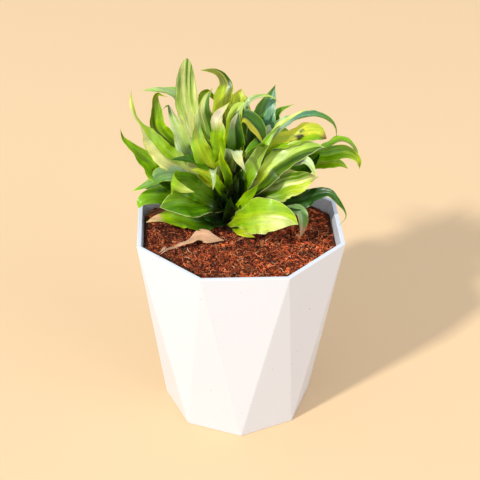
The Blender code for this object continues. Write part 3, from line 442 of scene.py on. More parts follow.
LOOKS = {
    # The olive at the root of spire is painted shade low in the crown
    "spire": look("olive lime yellow_lime cream pale_green green green", "cream", 0.7, "green", 0.7),
    "far_left": look("cream cream cream lime lime yellow_lime yellow_lime", "pale_green", 0.35,
        "yellow_lime", 0.6, half="cream", side=-1, tip="brown", tip_from=0.98, shade=0.85),
    "curl_left": look("green green lime lime", "yellow_lime", 0.3, half="dark", side=-1, tip="olive",
        tip_from=0.85),
    "behind_spire": look("blue_green glaucous glaucous pale_green", "blue_white", 0.4, "pale_green"),
    "striped": look("green green glaucous pale_green glaucous", "blue_white", 0.7, "pale_green", 0.5,
        tip="dark", tip_from=0.88),
    "low_left": look("green green lime lime", "green", 0.5, "yellow_lime", 0.9, tip="bark", tip_from=0.96),
    "glaucous_left": look("glaucous teal blue_white glaucous lime", "green", 0.4, "yellow_lime", 0.8,
        shade=0.4),
    "folded_front_left": look("darkest dark green green green lime cream", "lime", 0.35, "lime", 0.4),
    "under_left": look("dark green green lime", "lime", 0.3, "pale_green", 0.8),
    "broad_dark": look("darkest dark green green green", "lime", 0.4, "cream", 0.8, shade_to=0.6),
    "lowest_left": look("dark green lime yellow_lime", "lime", 0.3, "yellow_lime", 0.5, tip="tan",
        tip_from=0.84),
    # shaded_front, which the crown sheaths also wear, is painted near black as shade in the crown
    "shaded_front": look("darkest darkest darkest dark", "dark", 0.2, "dark", 0.3),
    "narrow_left": look("dark dark green dark", "green", 0.3, "green", 0.4),
    "small_lime": look("dark green lime yellow_lime yellow_lime", "lime", 0.4),
    "hanging_blue": look("darkest darkest dark dark blue_white blue_white", "pale_green", 0.3,
        "pale_green", 0.3),
    # The pinkish stops where lime_middle bends are a painted highlight
    "lime_middle": look("green lime lime lime lime lime lime lime pinkish pinkish pale_green",
        "yellow_lime", 0.25),
    # The pinkish tip of dark_lens is a painted highlight
    "dark_lens": look("darkest dark green green glaucous pinkish", "green", 0.4, "lime", 0.8, half="dark",
        side=1),
    # The darkest stops of hanging_pale, up its rising part, are painted shade
    "hanging_pale": look("darkest darkest darkest darkest dark blue_white cream blue_white",
        "pale_green", 0.15, "cream", 0.4),
    "broad_lime_left": look("green yellow_lime yellow_lime lime lime glaucous blue_white", "yellow", 0.45,
        "pale_green", 0.6),
    "pale_left_middle": look("dark dark glaucous pale_green cream pale_green", "green", 0.6, half="dark",
        side=1, tip="brown", tip_from=0.97),
    "behind_middle": look("dark green olive lime", "yellow_lime", 0.3, "yellow_lime", 0.4),
    # The dark tip of top_curl is painted shade under its curled end
    "top_curl": look("dark green yellow_lime yellow_lime lime green", "yellow", 0.3, half="olive", side=1,
        tip="dark", tip_from=0.78),
    "lime_point": look("glaucous green lime yellow_lime yellow_lime", "yellow", 0.5, tip="brown",
        tip_from=0.98),
    "pale_face": look("green lime lime yellow_lime pale_green", "blue_white", 0.3, "pale_green", 0.4),
    "yellow_edge": look("dark green lime yellow_lime", "green", 0.4, "yellow_lime", 0.9),
    "small_green": look("dark dark dark green green", "lime", 0.3, "yellow_lime", 0.7),
    # yellow_fold has a strong painted shade at its root, where it lies in a gap of the crown
    "yellow_fold": look("darkest darkest dark dark dark", "green", 0.4, "pale_green", 0.5, half="yellow",
        side=1, shade=0.05, shade_to=0.6),
    "thin_arc": look("glaucous glaucous blue_white yellow_lime", "green", 0.4),
    "blue_point": look("dark green blue_green teal teal teal", "glaucous", 0.45, half="green", side=-1,
        tip="bark", tip_from=0.97),
    "dark_right": look("darkest dark dark green lime", "green", 0.4, "lime", 0.6, shade_to=0.6),
    "dark_tip": look("darkest dark dark green", "green", 0.4, "green", 0.5, shade_to=0.6),
    "long_arch": look("dark green pale_green blue_white teal green bark", "pale_green", 0.4,
        "pale_green", 0.6),
    "pale_tip": look("green pale_green pale_green cream", "yellow_lime", 0.4),
    "yellow_right": look("green lime yellow_lime yellow yellow_lime", "lime", 0.6, "yellow", 0.5,
        half="lime", side=1, tip="brown", tip_from=0.97, shade=0.9, spots=((0.77, 0.0, 2.6),
        (0.74, 0.5, 1.5), (0.8, -0.45, 1.2), (0.71, 0.1, 0.8))),
    "blue_grey": look("green blue_green blue_shine teal blue_green", "blue_white", 0.3),
    "olive_arc": look("green green lime lime", "lime", 0.35, "lime", 0.5),
    "far_right": look("dark green lime lime lime yellow_lime", "green", 0.6, "yellow_lime", 0.7, tip="bark",
        tip_from=0.98),
    "far_right_low": look("dark green lime lime", "yellow_lime", 0.6, "yellow_lime", 0.5),
    "pale_right": look("pinkish cream yellow_lime pale_green pale_green lime", "lime", 0.25, "cream", 0.7,
        half="dark", side=1, shade=0.8),
    "dark_wedge": look("dark green green green", "green", 0.3, "lime", 0.6, half="dark", side=1),
    "pale_hook": look("green green green pale_green blue_white pale_green", "pale_green", 0.4,
        "cream", 0.3),
    # The darkest stops at the root of lime_right are painted shadow, cast there by pale_right, and its
    # painted shade reaches far up the blade
    "lime_right": look("darkest darkest dark lime yellow_lime yellow_lime", "cream", 0.4,
        "yellow_lime", 0.4, half="green", side=-1, tip="brown", tip_from=0.95, shade_to=0.7),
    "dark_low_right": look("darkest dark dark green", "blue_green", 0.3, "green", 0.5),
    # The cream stop on broad_front is a painted highlight
    "broad_front": look("green lime lime pale_green cream pale_green", "yellow_lime", 0.45, "cream", 0.5,
        half="lime", side=-1, shade=0.5),
    "under_front": look("green lime yellow_lime yellow_lime", "yellow", 0.3),
    "hanging_tip": look("green green glaucous glaucous pale_green", "blue_white", 0.4, "pale_green", 0.5,
        tip="tan", tip_from=0.88),
    "narrow_v": look("green lime lime green", "yellow_lime", 0.3),
    "green_middle": look("dark green lime pale_green lime green", "green", 0.4, "pinkish", 0.45),
    "withered": look("bark", "brown", 0.4, "bark", 0.0),
}

BACK_LOOKS = (
    look("dark green green lime", "lime", 0.4, "yellow_lime", 0.6),
    look("green lime lime pale_green", "cream", 0.7, "yellow_lime", 0.7),
    look("dark dark green green", "blue_green", 0.5, "lime", 0.7),
    look("green glaucous blue_green green", "blue_white", 0.5, "lime", 0.6),
    look("green yellow_lime yellow_lime lime", "green", 0.6, "cream", 0.6),
)

# The dried leaf is painted darker at its base end, as painted shade
DRIED_LOOK = look("tan", "tan", 0.4, "tan", 0.3, shade=0.6, shade_to=0.25)


def linear(name):
    """A palette colour in the linear values that shaders take."""
    return np.array([c / 255 / 12.92 if c < 10.3 else ((c / 255 + 0.055) / 1.055) ** 2.4
                     for c in PALETTE[name]])


def smooth_path(points, stations):
    """Evenly spaced points along a smooth curve through the way-points, and its length."""
    way = [np.array(p, float) for p in points]
    way = [2 * way[0] - way[1]] + way + [2 * way[-1] - way[-2]]
    dense = []
    for a, b, c, d in zip(way, way[1:], way[2:], way[3:]):
        for step in range(PATH_FINENESS):
            t = step / PATH_FINENESS
            dense.append(0.5 * (2 * b + (c - a) * t + (2 * a - 5 * b + 4 * c - d) * t * t
                                + (3 * b - a - 3 * c + d) * t * t * t))
    dense.append(way[-2])
    dense = np.array(dense)
    gaps = np.linalg.norm(np.diff(dense, axis=0), axis=1)
    along = np.concatenate(([0.0], np.cumsum(gaps)))
    wanted = np.linspace(0.0, along[-1], stations)
    return np.stack([np.interp(wanted, along, dense[:, k]) for k in range(3)], axis=1), along[-1]


def unit(rows):
    """Each row scaled to length one."""
    return rows / np.maximum(np.linalg.norm(rows, axis=-1, keepdims=True), 1e-9)


def smoothstep(low, high, value):
    """Zero below low, one above high, and smooth between."""
    t = np.clip((value - low) / (high - low), 0.0, 1.0)
    return t * t * (3 - 2 * t)


def blade_share(s, row):
    """Width of a blade at each share of its length, as a share of its full width."""
    widest = row["widest"]
    opening = np.sin(np.minimum(s / widest, 1.0) * math.pi / 2) ** row["rise"]
    past = np.clip((s - widest) / (1 - widest), 0.0, 1.0)
    closing = (1 - past ** row["taper"]) ** row["tail"]
    return np.where(s < widest, row["base"] + (1 - row["base"]) * opening, closing)


def even_stops(s, values):
    """Values spread evenly from zero to one, read at s with no sudden change between them."""
    stops = np.linspace(0.0, 1.0, len(values))
    around = np.linspace(-BEND_SOFTNESS, BEND_SOFTNESS, 7)
    return np.mean([np.interp(np.clip(s + step, 0.0, 1.0), stops, values) for step in around], axis=0)


def drawn_ripple(draw, place, lengths):
    """A sum of three waves of random length and phase, between minus one and one."""
    total = np.zeros_like(place)
    for _ in range(3):
        total += np.sin(2 * math.pi * place / draw.uniform(*lengths) + draw.uniform(0, 2 * math.pi))
    return total / 3


def carried_along(facing, tangent):
    """How a blade faces at each point of its path when it bends without rolling."""
    rows = [facing]
    for step in tangent[1:]:
        rows.append(unit(rows[-1] - (rows[-1] @ step) * step))
    return np.array(rows)


def bands(start, rings, count):
    """Faces between rings of points that follow each other."""
    faces = []
    for ring in range(rings - 1):
        for j in range(count):
            a, b = start + ring * count + j, start + ring * count + (j + 1) % count
            faces.append((a, b, b + count, a + count))
    return faces


def store(mesh, name, kind, domain, values):
    """Stores a value for each point or face of a mesh."""
    field = {"FLOAT": "value", "FLOAT_VECTOR": "vector", "FLOAT_COLOR": "color"}[kind]
    mesh.attributes.new(name, kind, domain).data.foreach_set(field, np.asarray(values, np.float32).ravel())


def opaque(tones):
    """Colours with a fourth value of one."""
    return np.concatenate((tones, np.ones((len(tones), 1))), axis=1)


def linked(name, data):
    """A new object in the scene."""
    item = bpy.data.objects.new(name, data)
    bpy.context.scene.collection.objects.link(item)
    return item


def finished(name, mesh, material):
    """A piece of the part, in its material and on its one body."""
    mesh.materials.append(material)
    item = linked(name, mesh)
    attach(item, "root")
    return item


class Blades:
    """A piece under construction: blades side by side in one mesh, with their colours."""

    def __init__(self):
        self.points = []
        self.faces = []
        self.under = []
        self.strips = []
        self.values = {kind: [] for kind in BLADE_VALUES}
        self.count = 0

    def add(self, row, colours, seed, thickness=LEAF_THICKNESS, clasp=CLASP_ANGLE, from_cane=True):
        """One closed blade, whose top and under sides meet in a thin edge."""
        draw = random.Random(seed)
        way = [(*CANE_AT, row["root"]), *row["way"]] if from_cane else list(row["way"])
        _, length = smooth_path(way, FEWEST_STATIONS)
        stations = min(max(round(length / BLADE_STEP) + 1, FEWEST_STATIONS), MOST_STATIONS)
        path, _ = smooth_path(way, stations)
        path[:, 2] += SOIL_LEVEL
        s = np.linspace(0.0, 1.0, stations)
        u = np.linspace(-1.0, 1.0, COLUMNS)
        swell = np.sin(math.pi * s)
        for axis in range(3):
            path[:, axis] += KINK * drawn_ripple(draw, s * length, KINK_LENGTHS) * swell
        half = np.maximum(row["width"] * blade_share(s, row), TIP_WIDTH) / 2
        sideways, normal = self.directions(row, path, s)
        across, lift = self.section(row, draw, s, u, half, length, clasp)
        normal = normal[:, None, :]
        middle = path[:, None, :] + sideways[:, None, :] * across[..., None] + normal * lift[..., None]
        body = thickness / 2 * (1 - u ** EDGE_POWER) * np.minimum(1.0, half / THIN_HALF)[:, None]
        narrow = np.minimum(1.0, half / NARROW_HALF)[:, None]
        keel = KEEL * np.exp(-(u * half[:, None] / KEEL_HALF) ** 2) * (1 - s)[:, None] * narrow
        ends = np.minimum(1.0, np.minimum(s, 1 - s) * stations / 2)[:, None]
        top = middle + normal * (body * ends)[..., None]
        under = middle - normal * ((body + keel) * ends)[..., None]
        self.stitch(top, under, stations)
        self.colour(colours, s, u, half, length, seed)
        self.strips.append((row["width"], length, stations))

    @staticmethod
    def directions(row, path, s):
        """Sideways and upward directions of a blade along its path."""
        tangent = unit(np.gradient(path, axis=0))
        facing = unit(FRONT_AND_UP - (tangent @ FRONT_AND_UP)[:, None] * tangent)
        if row["carried"]:
            facing = carried_along(facing[0], tangent)
        turn = np.radians(even_stops(s, row["turns"]))[:, None]
        normal = facing * np.cos(turn) + np.cross(tangent, facing) * np.sin(turn)
        return np.cross(tangent, normal), normal

    @staticmethod
    def section(row, draw, s, u, half, length, clasp):
        """How far each point lies across a blade, and how far it is lifted off its middle plane."""
        width = row["width"]
        clasping = np.clip(1 - s / CLASP_SHARE, 0.0, 1.0) ** CLASP_POWER
        fold = np.radians(row["fold"] + (clasp - row["fold"]) * clasping)
        rib = RIB_SOFTNESS
        trough = (np.sqrt(u * u + rib * rib) - rib) / (math.sqrt(1 + rib * rib) - rib)
        swell = np.sin(math.pi * s)
        narrow = np.minimum(1.0, half / NARROW_HALF)
        waves = np.zeros((len(s), COLUMNS))
        spread = np.ones((len(s), COLUMNS))
        for edge in (-1, 1):
            slow = np.sin(2 * math.pi * row["waves"] * s + EDGE_PHASE * edge) * swell
            pace = row["waves"] * draw.uniform(*QUICK_WAVES)
            quick = np.sin(2 * math.pi * pace * s + draw.uniform(0, QUICK_PHASE))
            ripple = slow + draw.uniform(*QUICK_SHARE) * quick * swell
            side = u * edge > 0
            waves += ripple[:, None] * np.where(side, np.abs(u) ** 2, 0.0)
            crinkle = drawn_ripple(draw, s * length, CRINKLE_LENGTHS) * swell * narrow
            waves += CRINKLE / (BLADE_WAVE * width) * crinkle[:, None] * np.where(side, np.abs(u) ** 3, 0.0)
            notch = 1 + EDGE_NOTCH * drawn_ripple(draw, s * length, CRINKLE_LENGTHS) * swell
            spread = np.where(side, notch[:, None], spread)
        across = half[:, None] * np.cos(fold)[:, None] * u * spread
        lift = half[:, None] * np.sin(fold)[:, None] * trough + BLADE_WAVE * width * waves
        pleat = drawn_ripple(draw, u * width / 2, PLEAT_LENGTHS)
        return across, lift + PLEAT * pleat[None, :] * (swell * narrow)[:, None]

    def stitch(self, top, under, stations):
        """Points and faces of one blade: the two sides share the points round the edge."""
        number = np.arange(stations * COLUMNS).reshape(stations, COLUMNS) + self.count
        inner = np.arange((stations - 2) * (COLUMNS - 2)).reshape(stations - 2, COLUMNS - 2)
        below = number.copy()
        below[1:-1, 1:-1] = inner + self.count + stations * COLUMNS
        self.points += [top.reshape(-1, 3), under[1:-1, 1:-1].reshape(-1, 3)]
        self.count += stations * COLUMNS + inner.size
        for grid, corners in zip((number, below), SIDE_CORNERS):
            quad = [grid[dk:dk + stations - 1, dj:dj + COLUMNS - 1] for dk, dj in corners]
            self.faces.append(np.stack(quad, axis=-1).reshape(-1, 4))
        quads = (stations - 1) * (COLUMNS - 1)
        self.under += [0.0] * quads + [1.0] * quads

    def colour(self, colours, s, u, half, length, seed):
        """Colour and place of each point, which the leaf material reads."""
        stops = np.linspace(0.0, 1.0, len(colours["body"]))
        stated = np.array([linear(name) for name in colours["body"]])
        body = np.stack([np.interp(s, stops, stated[:, k]) for k in range(3)], axis=1)
        tone = np.repeat(body[:, None, :], COLUMNS, axis=1)
        if colours["half"]:
            share = HALF_SHARE * smoothstep(0.0, HALF_SOFTNESS, u * colours["side"])[None, :, None]
            tone = tone * (1 - share) + linear(colours["half"]) * share
        if colours["tip"]:
            start = colours["tip_from"]
            share = smoothstep(start - TIP_SOFTNESS[0], start + TIP_SOFTNESS[1], s)[:, None, None]
            tone = tone * (1 - share) + linear(colours["tip"]) * share
        for at, across, radius in colours["spots"]:
            away = (s[:, None] - at) * length, (u[None, :] - across) * half[:, None]
            bearing = np.arctan2(*away)
            ragged = radius * (1 + SPOT_RAGGED[0] * np.sin(SPOT_LOBES[0] * bearing + seed)
                               + SPOT_RAGGED[1] * np.sin(SPOT_LOBES[1] * bearing))
            share = smoothstep(*SPOT_SOFTNESS, np.hypot(*away) / ragged)[..., None]
            tone = tone * (1 - share) + linear("bark") * share
        # Painted shade: each blade, with its streaks and margin, is darkened from its root up to shade_to,
        # where the crown shades it
        shade = colours["shade"]
        painted_shade = (shade + (1 - shade) * smoothstep(SHADE_FROM, colours["shade_to"], s))[:, None, None]
        place = np.zeros_like(tone)
        place[..., 0] = u * half[:, None]
        place[..., 1] = (s * length)[:, None]
        place[..., 2] = seed * SEED_GAP
        grid = {"tone": tone * painted_shade, "place": place, "from_edge": (1 - np.abs(u)) * half[:, None]}
        for kind, strength in (("streak", "streaks"), ("margin", "margins")):
            flat = np.append(linear(colours[kind]), colours[strength])
            grid[kind] = np.broadcast_to(flat, (*tone.shape[:2], 4)).copy()
            grid[kind][..., :3] *= painted_shade
        for kind, values in grid.items():
            tail = values.shape[2:]
            self.values[kind] += [values.reshape(-1, *tail), values[1:-1, 1:-1].reshape(-1, *tail)]

    def bake_map(self, mesh):
        """A map with a strip for each side of each blade, in rows of about the same length."""
        total = sum(width for width, _, _ in self.strips) * 2
        tallest = max(length for _, length, _ in self.strips)
        rows = max(1, round(math.sqrt(total / tallest)))
        row_width = total / rows * MAP_SLACK
        layer = mesh.uv_layers.new(name="OFBake")
        places = []
        x = 0.0
        y = 0.0
        for width, length, stations in self.strips:
            k, j = np.meshgrid(np.arange(stations - 1), np.arange(COLUMNS - 1), indexing="ij")
            for corners in SIDE_CORNERS:
                if x + width > row_width:
                    x = 0.0
                    y += tallest
                across = np.linspace(*MAP_ACROSS, COLUMNS) * width + x
                along = np.linspace(*MAP_ALONG, stations) * length + y
                quad = [np.stack((across[j + dj], along[k + dk]), axis=-1) for dk, dj in corners]
                places.append(np.stack(quad, axis=2).reshape(-1, 2))
                x += width
        size = max(row_width, y + tallest)
        layer.data.foreach_set("uv", (np.concatenate(places) / size).astype(np.float32).ravel())

    def finish(self, name, material):
        """The finished object."""
        mesh = bpy.data.meshes.new(name)
        points = np.concatenate(self.points) * MM
        mesh.from_pydata(points.tolist(), [], np.concatenate(self.faces).tolist())
        for kind, data_type in BLADE_VALUES.items():
            values = np.concatenate(self.values[kind])
            store(mesh, kind, data_type, "POINT", opaque(values) if kind == "tone" else values)
        store(mesh, "under", "FLOAT", "FACE", self.under)
        self.bake_map(mesh)
        mesh.polygons.foreach_set("use_smooth", [True] * len(mesh.polygons))
        sharpen(mesh, np.array(self.under))
        return finished(name, mesh, material)


def sharpen(mesh, side):
    """Keeps a crisp line where the two sides of a blade meet."""
    loops = np.empty(len(mesh.loops), np.int32)
    mesh.loops.foreach_get("edge_index", loops)
    of_side = np.repeat(side, 4)
    tops = np.zeros(len(mesh.edges), bool)
    unders = np.zeros(len(mesh.edges), bool)
    tops[loops[of_side < 0.5]] = True
    unders[loops[of_side > 0.5]] = True
    mesh.attributes.new("sharp_edge", "BOOLEAN", "EDGE").data.foreach_set("value", tops & unders)


class Paint:
    """A material under construction, with short ways to add what its shader reads."""

    def __init__(self, name):
        self.made = bpy.data.materials.new(name)
        self.made.use_nodes = True
        self.nodes = self.made.node_tree.nodes
        self.shader = self.nodes["Principled BSDF"]

    def fill(self, node, values):
        """Gives each socket that is named a link or a plain value."""
        for socket, value in values.items():
            if isinstance(value, bpy.types.NodeSocket):
                self.made.node_tree.links.new(value, node.inputs[socket])
            else:
                node.inputs[socket].default_value = value
        return node

    def finish(self, values):
        """The finished material, with the shader's sockets filled."""
        self.fill(self.shader, values)
        return self.made

    def attribute(self, name, output):
        """A value stored on the mesh."""
        node = self.nodes.new("ShaderNodeAttribute")
        node.attribute_name = name
        return node.outputs[output]

    def place(self):
        """Place on the object, in metres."""
        return self.nodes.new("ShaderNodeTexCoord").outputs["Object"]

    def noise(self, place, fineness, detail=3.0, roughness=0.55):
        """Noise over a place. Its fineness is one number, or three for the three directions."""
        stretched = self.nodes.new("ShaderNodeVectorMath")
        stretched.operation = "MULTIPLY"
        self.fill(stretched, {0: place, 1: fineness if isinstance(fineness, tuple) else (fineness,) * 3})
        node = self.fill(self.nodes.new("ShaderNodeTexNoise"), {
            "Vector": stretched.outputs[0], "Scale": 1.0, "Detail": detail, "Roughness": roughness})
        return node.outputs["Fac"]

    def ranged(self, value, low, high, to_low=0.0, to_high=1.0):
        """A value carried smoothly from one range to another."""
        node = self.nodes.new("ShaderNodeMapRange")
        node.interpolation_type = "SMOOTHSTEP"
        return self.fill(node, {"Value": value, "From Min": low, "From Max": high, "To Min": to_low,
                                "To Max": to_high}).outputs["Result"]

    def times(self, a, b):
        """Product of two values."""
        node = self.nodes.new("ShaderNodeMath")
        node.operation = "MULTIPLY"
        return self.fill(node, {0: a, 1: b}).outputs[0]

    def mixed(self, share, a, b):
        """Mix of two colours, each a socket or three numbers."""
        node = self.nodes.new("ShaderNodeMix")
        node.data_type = "RGBA"
        a, b = (c if isinstance(c, bpy.types.NodeSocket) else (*c, 1.0) for c in (a, b))
        return self.fill(node, {0: share, 6: a, 7: b}).outputs[2]

    def shaded(self, colour, value):
        """A colour made lighter or darker by a value round one."""
        node = self.nodes.new("ShaderNodeVectorMath")
        node.operation = "SCALE"
        return self.fill(node, {0: colour, "Scale": value}).outputs[0]

    def bump(self, height, strength, distance):
        """Fine relief."""
        return self.fill(self.nodes.new("ShaderNodeBump"), {
            "Height": height, "Strength": strength, "Distance": distance}).outputs["Normal"]


def leaf_material(name, roughness, glow, coat):
    """A leaf's surface: streaks along the blade, fine parallel veins and a paler margin."""
    paint = Paint(name)
    place = paint.attribute("place", "Vector")
    colour = paint.attribute("tone", "Color")
    for fineness, low, high, strength in STREAKS:
        share = paint.times(paint.ranged(paint.noise(place, fineness), low, high), strength)
        share = paint.times(share, paint.attribute("streak", "Alpha"))
        colour = paint.mixed(share, colour, paint.attribute("streak", "Color"))
    rim = paint.ranged(paint.attribute("from_edge", "Fac"), *MARGIN_WIDTHS, 1.0, 0.0)
    rim = paint.times(rim, paint.attribute("margin", "Alpha"))
    colour = paint.mixed(rim, colour, paint.attribute("margin", "Color"))
    under = paint.times(paint.attribute("under", "Fac"), UNDER_PALE)
    colour = paint.mixed(under, colour, linear("pale_green"))
    veins = paint.noise(place, VEINS, 2.0)
    mottle = paint.noise(place, MOTTLE, 4.0)
    colour = paint.shaded(colour, paint.ranged(veins, *MIDDLE_RANGE, *VEIN_SHADES))
    colour = paint.shaded(colour, paint.ranged(mottle, *MIDDLE_RANGE, *MOTTLE_SHADES))
    return paint.finish({
        "Base Color": colour,
        "Roughness": paint.ranged(paint.noise(place, SHEEN_PATCHES), *MIDDLE_RANGE, *roughness),
        "Normal": paint.bump(veins, *LEAF_RELIEF),
        "Subsurface Weight": glow, "Coat Weight": coat, **LEAF_BODY})


def planter_material():
    """White moulded plastic, with slight unevenness and a few specks of dust."""
    paint = Paint("white_plastic")
    place = paint.place()
    colour = paint.mixed(paint.noise(place, *PLANTER_CLOUDS), *PLANTER_WHITES)
    dust = paint.ranged(paint.noise(place, *DUST_SPECKS), *DUST_RANGE)
    sheen = paint.noise(place, *PLANTER_SHEEN_PATCHES)
    return paint.finish({
        "Base Color": paint.mixed(paint.times(dust, DUST_SHARE), colour, DUST_COLOUR),
        "Roughness": paint.ranged(sheen, *MIDDLE_RANGE, *PLANTER_ROUGHNESS),
        "Normal": paint.bump(paint.noise(place, *PLANTER_GRAIN), *PLANTER_RELIEF)})


def peat_material():
    """Loose reddish brown husk in dark and lighter lumps. Its dark is partly the peat's own colour
    and partly painted shade between the crumbs.
    """
    paint = Paint("coco_peat_surface")
    place = paint.place()
    colour = paint.mixed(paint.ranged(paint.noise(place, *PEAT_LUMPS), *PEAT_LUMP_RANGE), *PEAT_COLOURS)
    grain = paint.ranged(paint.noise(place, *PEAT_GRAIN), *PEAT_GRAIN_RANGE)
    return paint.finish({
        "Base Color": paint.mixed(paint.times(grain, PEAT_GRAIN_SHARE), colour, PEAT_GRAIN_COLOUR),
        "Roughness": 0.95, "Specular IOR Level": 0.2, "Normal": paint.bump(grain, *PEAT_RELIEF)})


def shred_material(name, roughness=HUSK_ROUGHNESS):
    """Husk fibre and crumbs: each has its own tone, with grain along it."""
    paint = Paint(name)
    grain = paint.noise(paint.place(), *HUSK_GRAIN)
    shades = paint.ranged(grain, *MIDDLE_RANGE, *HUSK_SHADES)
    return paint.finish({
        "Base Color": paint.shaded(paint.attribute("tone", "Color"), shades),
        "Roughness": roughness, "Specular IOR Level": 0.25, "Normal": paint.bump(grain, *HUSK_RELIEF)})


# Fill

def octagon(flats, z, half_turn):
    """Corners of an octagon of a given width across its flats. With half_turn a flat side faces front."""
    radius = flats / 2 / math.cos(math.pi / SIDES)
    start = 0.5 if half_turn else 0.0
    angles = [2 * math.pi * (k + start) / SIDES for k in range(SIDES)]
    return [np.array((radius * math.sin(a), -radius * math.cos(a), z)) for a in angles]


def inside_outline(z):
    """Points round the fill at the height z, evenly between its sixteen corners."""
    inset = 2 * (WALL + FIT_GAP)
    z_floor = FLOOR + FIT_GAP
    low = octagon(BASE_FLATS + (RIM_FLATS - BASE_FLATS) * z_floor / POT_HEIGHT - inset, z_floor, False)
    high = octagon(RIM_FLATS - inset, POT_HEIGHT, True)
    share = (z - z_floor) / (POT_HEIGHT - z_floor)
    corners = [low[k] + (neighbour - low[k]) * share
               for k in range(SIDES) for neighbour in (high[k - 1], high[k])]
    return [corner + (following - corner) * step / PEAT_STEPS
            for corner, following in zip(corners, corners[1:] + corners[:1]) for step in range(PEAT_STEPS)]


def peat_height(x, y):
    """Height of the uneven peat over its mean level."""
    place = Vector((x, y, 0.0)) / SOIL_BUMP_SIZE
    return SOIL_BUMP * (noise.noise(place) + SOIL_GRAIN * noise.noise(place * SOIL_GRAIN_FINENESS))


def clumps(x, y, size, layer, strength):
    """Noise in clumps of one size."""
    return strength * noise.noise(Vector((x / size, y / size, layer)))


def fine_peat_height(x, y):
    """Height of the finer peat: clods and crumbs on the solid's surface, and a heap at the left."""
    heaped = HEAP * float(smoothstep(*HEAP_FROM_TO, x))
    return peat_height(x, y) + clumps(x, y, *CLODS) + clumps(x, y, *CRUMBLE) + heaped


def patch_shade(x, y):
    """How bright the husk is at a place: it lies in darker and lighter patches, with painted light
    at the right and painted shade under the leaves at the left.
    """
    patches = clumps(x, y, *WIDE_PATCHES) + clumps(x, y, *SMALL_PATCHES)
    # Painted light at the right and painted shade at the left
    painted_light_and_shade = 1.0 + RIGHT_PAINTED_LIGHT * float(smoothstep(*RIGHT_PAINTED_LIGHT_FROM_TO, x)) - LEFT_PAINTED_SHADE * float(smoothstep(*LEFT_PAINTED_SHADE_FROM_TO, x))
    return painted_light_and_shade * (DARK_PATCH + float(smoothstep(-PATCH_CONTRAST, PATCH_CONTRAST, patches)))


def make_peat_bed():
    """The fill, closed all round, with a fine uneven top."""
    outline = inside_outline(SOIL_LEVEL)
    count = len(outline)
    centre = np.array((0.0, 0.0, SOIL_LEVEL))
    points = []
    for ring in range(PEAT_RINGS):
        rough = min(1.0, WALL_ROUGHNESS + ring / RINGS_TO_ROUGH)
        for x, y, z in (p + (centre - p) * ring / PEAT_RINGS for p in outline):
            points.append((x, y, z + fine_peat_height(x, y) * rough))
    middle = len(points)
    points.append((0.0, 0.0, SOIL_LEVEL + fine_peat_height(0.0, 0.0)))
    faces = bands(0, PEAT_RINGS, count)
    last = (PEAT_RINGS - 1) * count
    faces += [(last + j, last + (j + 1) % count, middle) for j in range(count)]
    start = len(points)
    points += [tuple(p) for p in inside_outline(FLOOR + FIT_GAP)]
    faces += [(j, start + j, start + (j + 1) % count, (j + 1) % count) for j in range(count)]
    faces.append(tuple(reversed(range(start, start + count))))
    mesh = bpy.data.meshes.new("peat_bed")
    mesh.from_pydata([tuple(c * MM for c in p) for p in points], [], faces)
    mesh.polygons.foreach_set("use_smooth", [len(p.vertices) < 5 for p in mesh.polygons])
    return finished("peat_bed", mesh, peat_material())


def peat_place(draw, inset):
    """A random place on the peat, clear of the planter's wall."""
    reach = RIM_FLATS / 2 - WALL - inset
    while True:
        x, y = draw.uniform(-reach, reach), draw.uniform(-reach, reach)
        if max(abs(x), abs(y), (abs(x) + abs(y)) * math.sqrt(0.5)) < reach - CORNER_INSET:
            return x, y


def lump():
    """Corners and faces of a twenty-sided lump."""
    g = (1 + math.sqrt(5)) / 2
    corners = [(-1, g, 0), (1, g, 0), (-1, -g, 0), (1, -g, 0), (0, -1, g), (0, 1, g), (0, -1, -g),
               (0, 1, -g), (g, 0, -1), (g, 0, 1), (-g, 0, -1), (-g, 0, 1)]
    faces = [(0, 11, 5), (0, 5, 1), (0, 1, 7), (0, 7, 10), (0, 10, 11), (1, 5, 9), (5, 11, 4), (11, 10, 2),
             (10, 7, 6), (7, 1, 8), (3, 9, 4), (3, 4, 2), (3, 2, 6), (3, 6, 8), (3, 8, 9), (4, 9, 5),
             (2, 4, 11), (6, 2, 10), (8, 6, 7), (9, 8, 1)]
    return [Vector(corner) / math.hypot(1, g) for corner in corners], faces


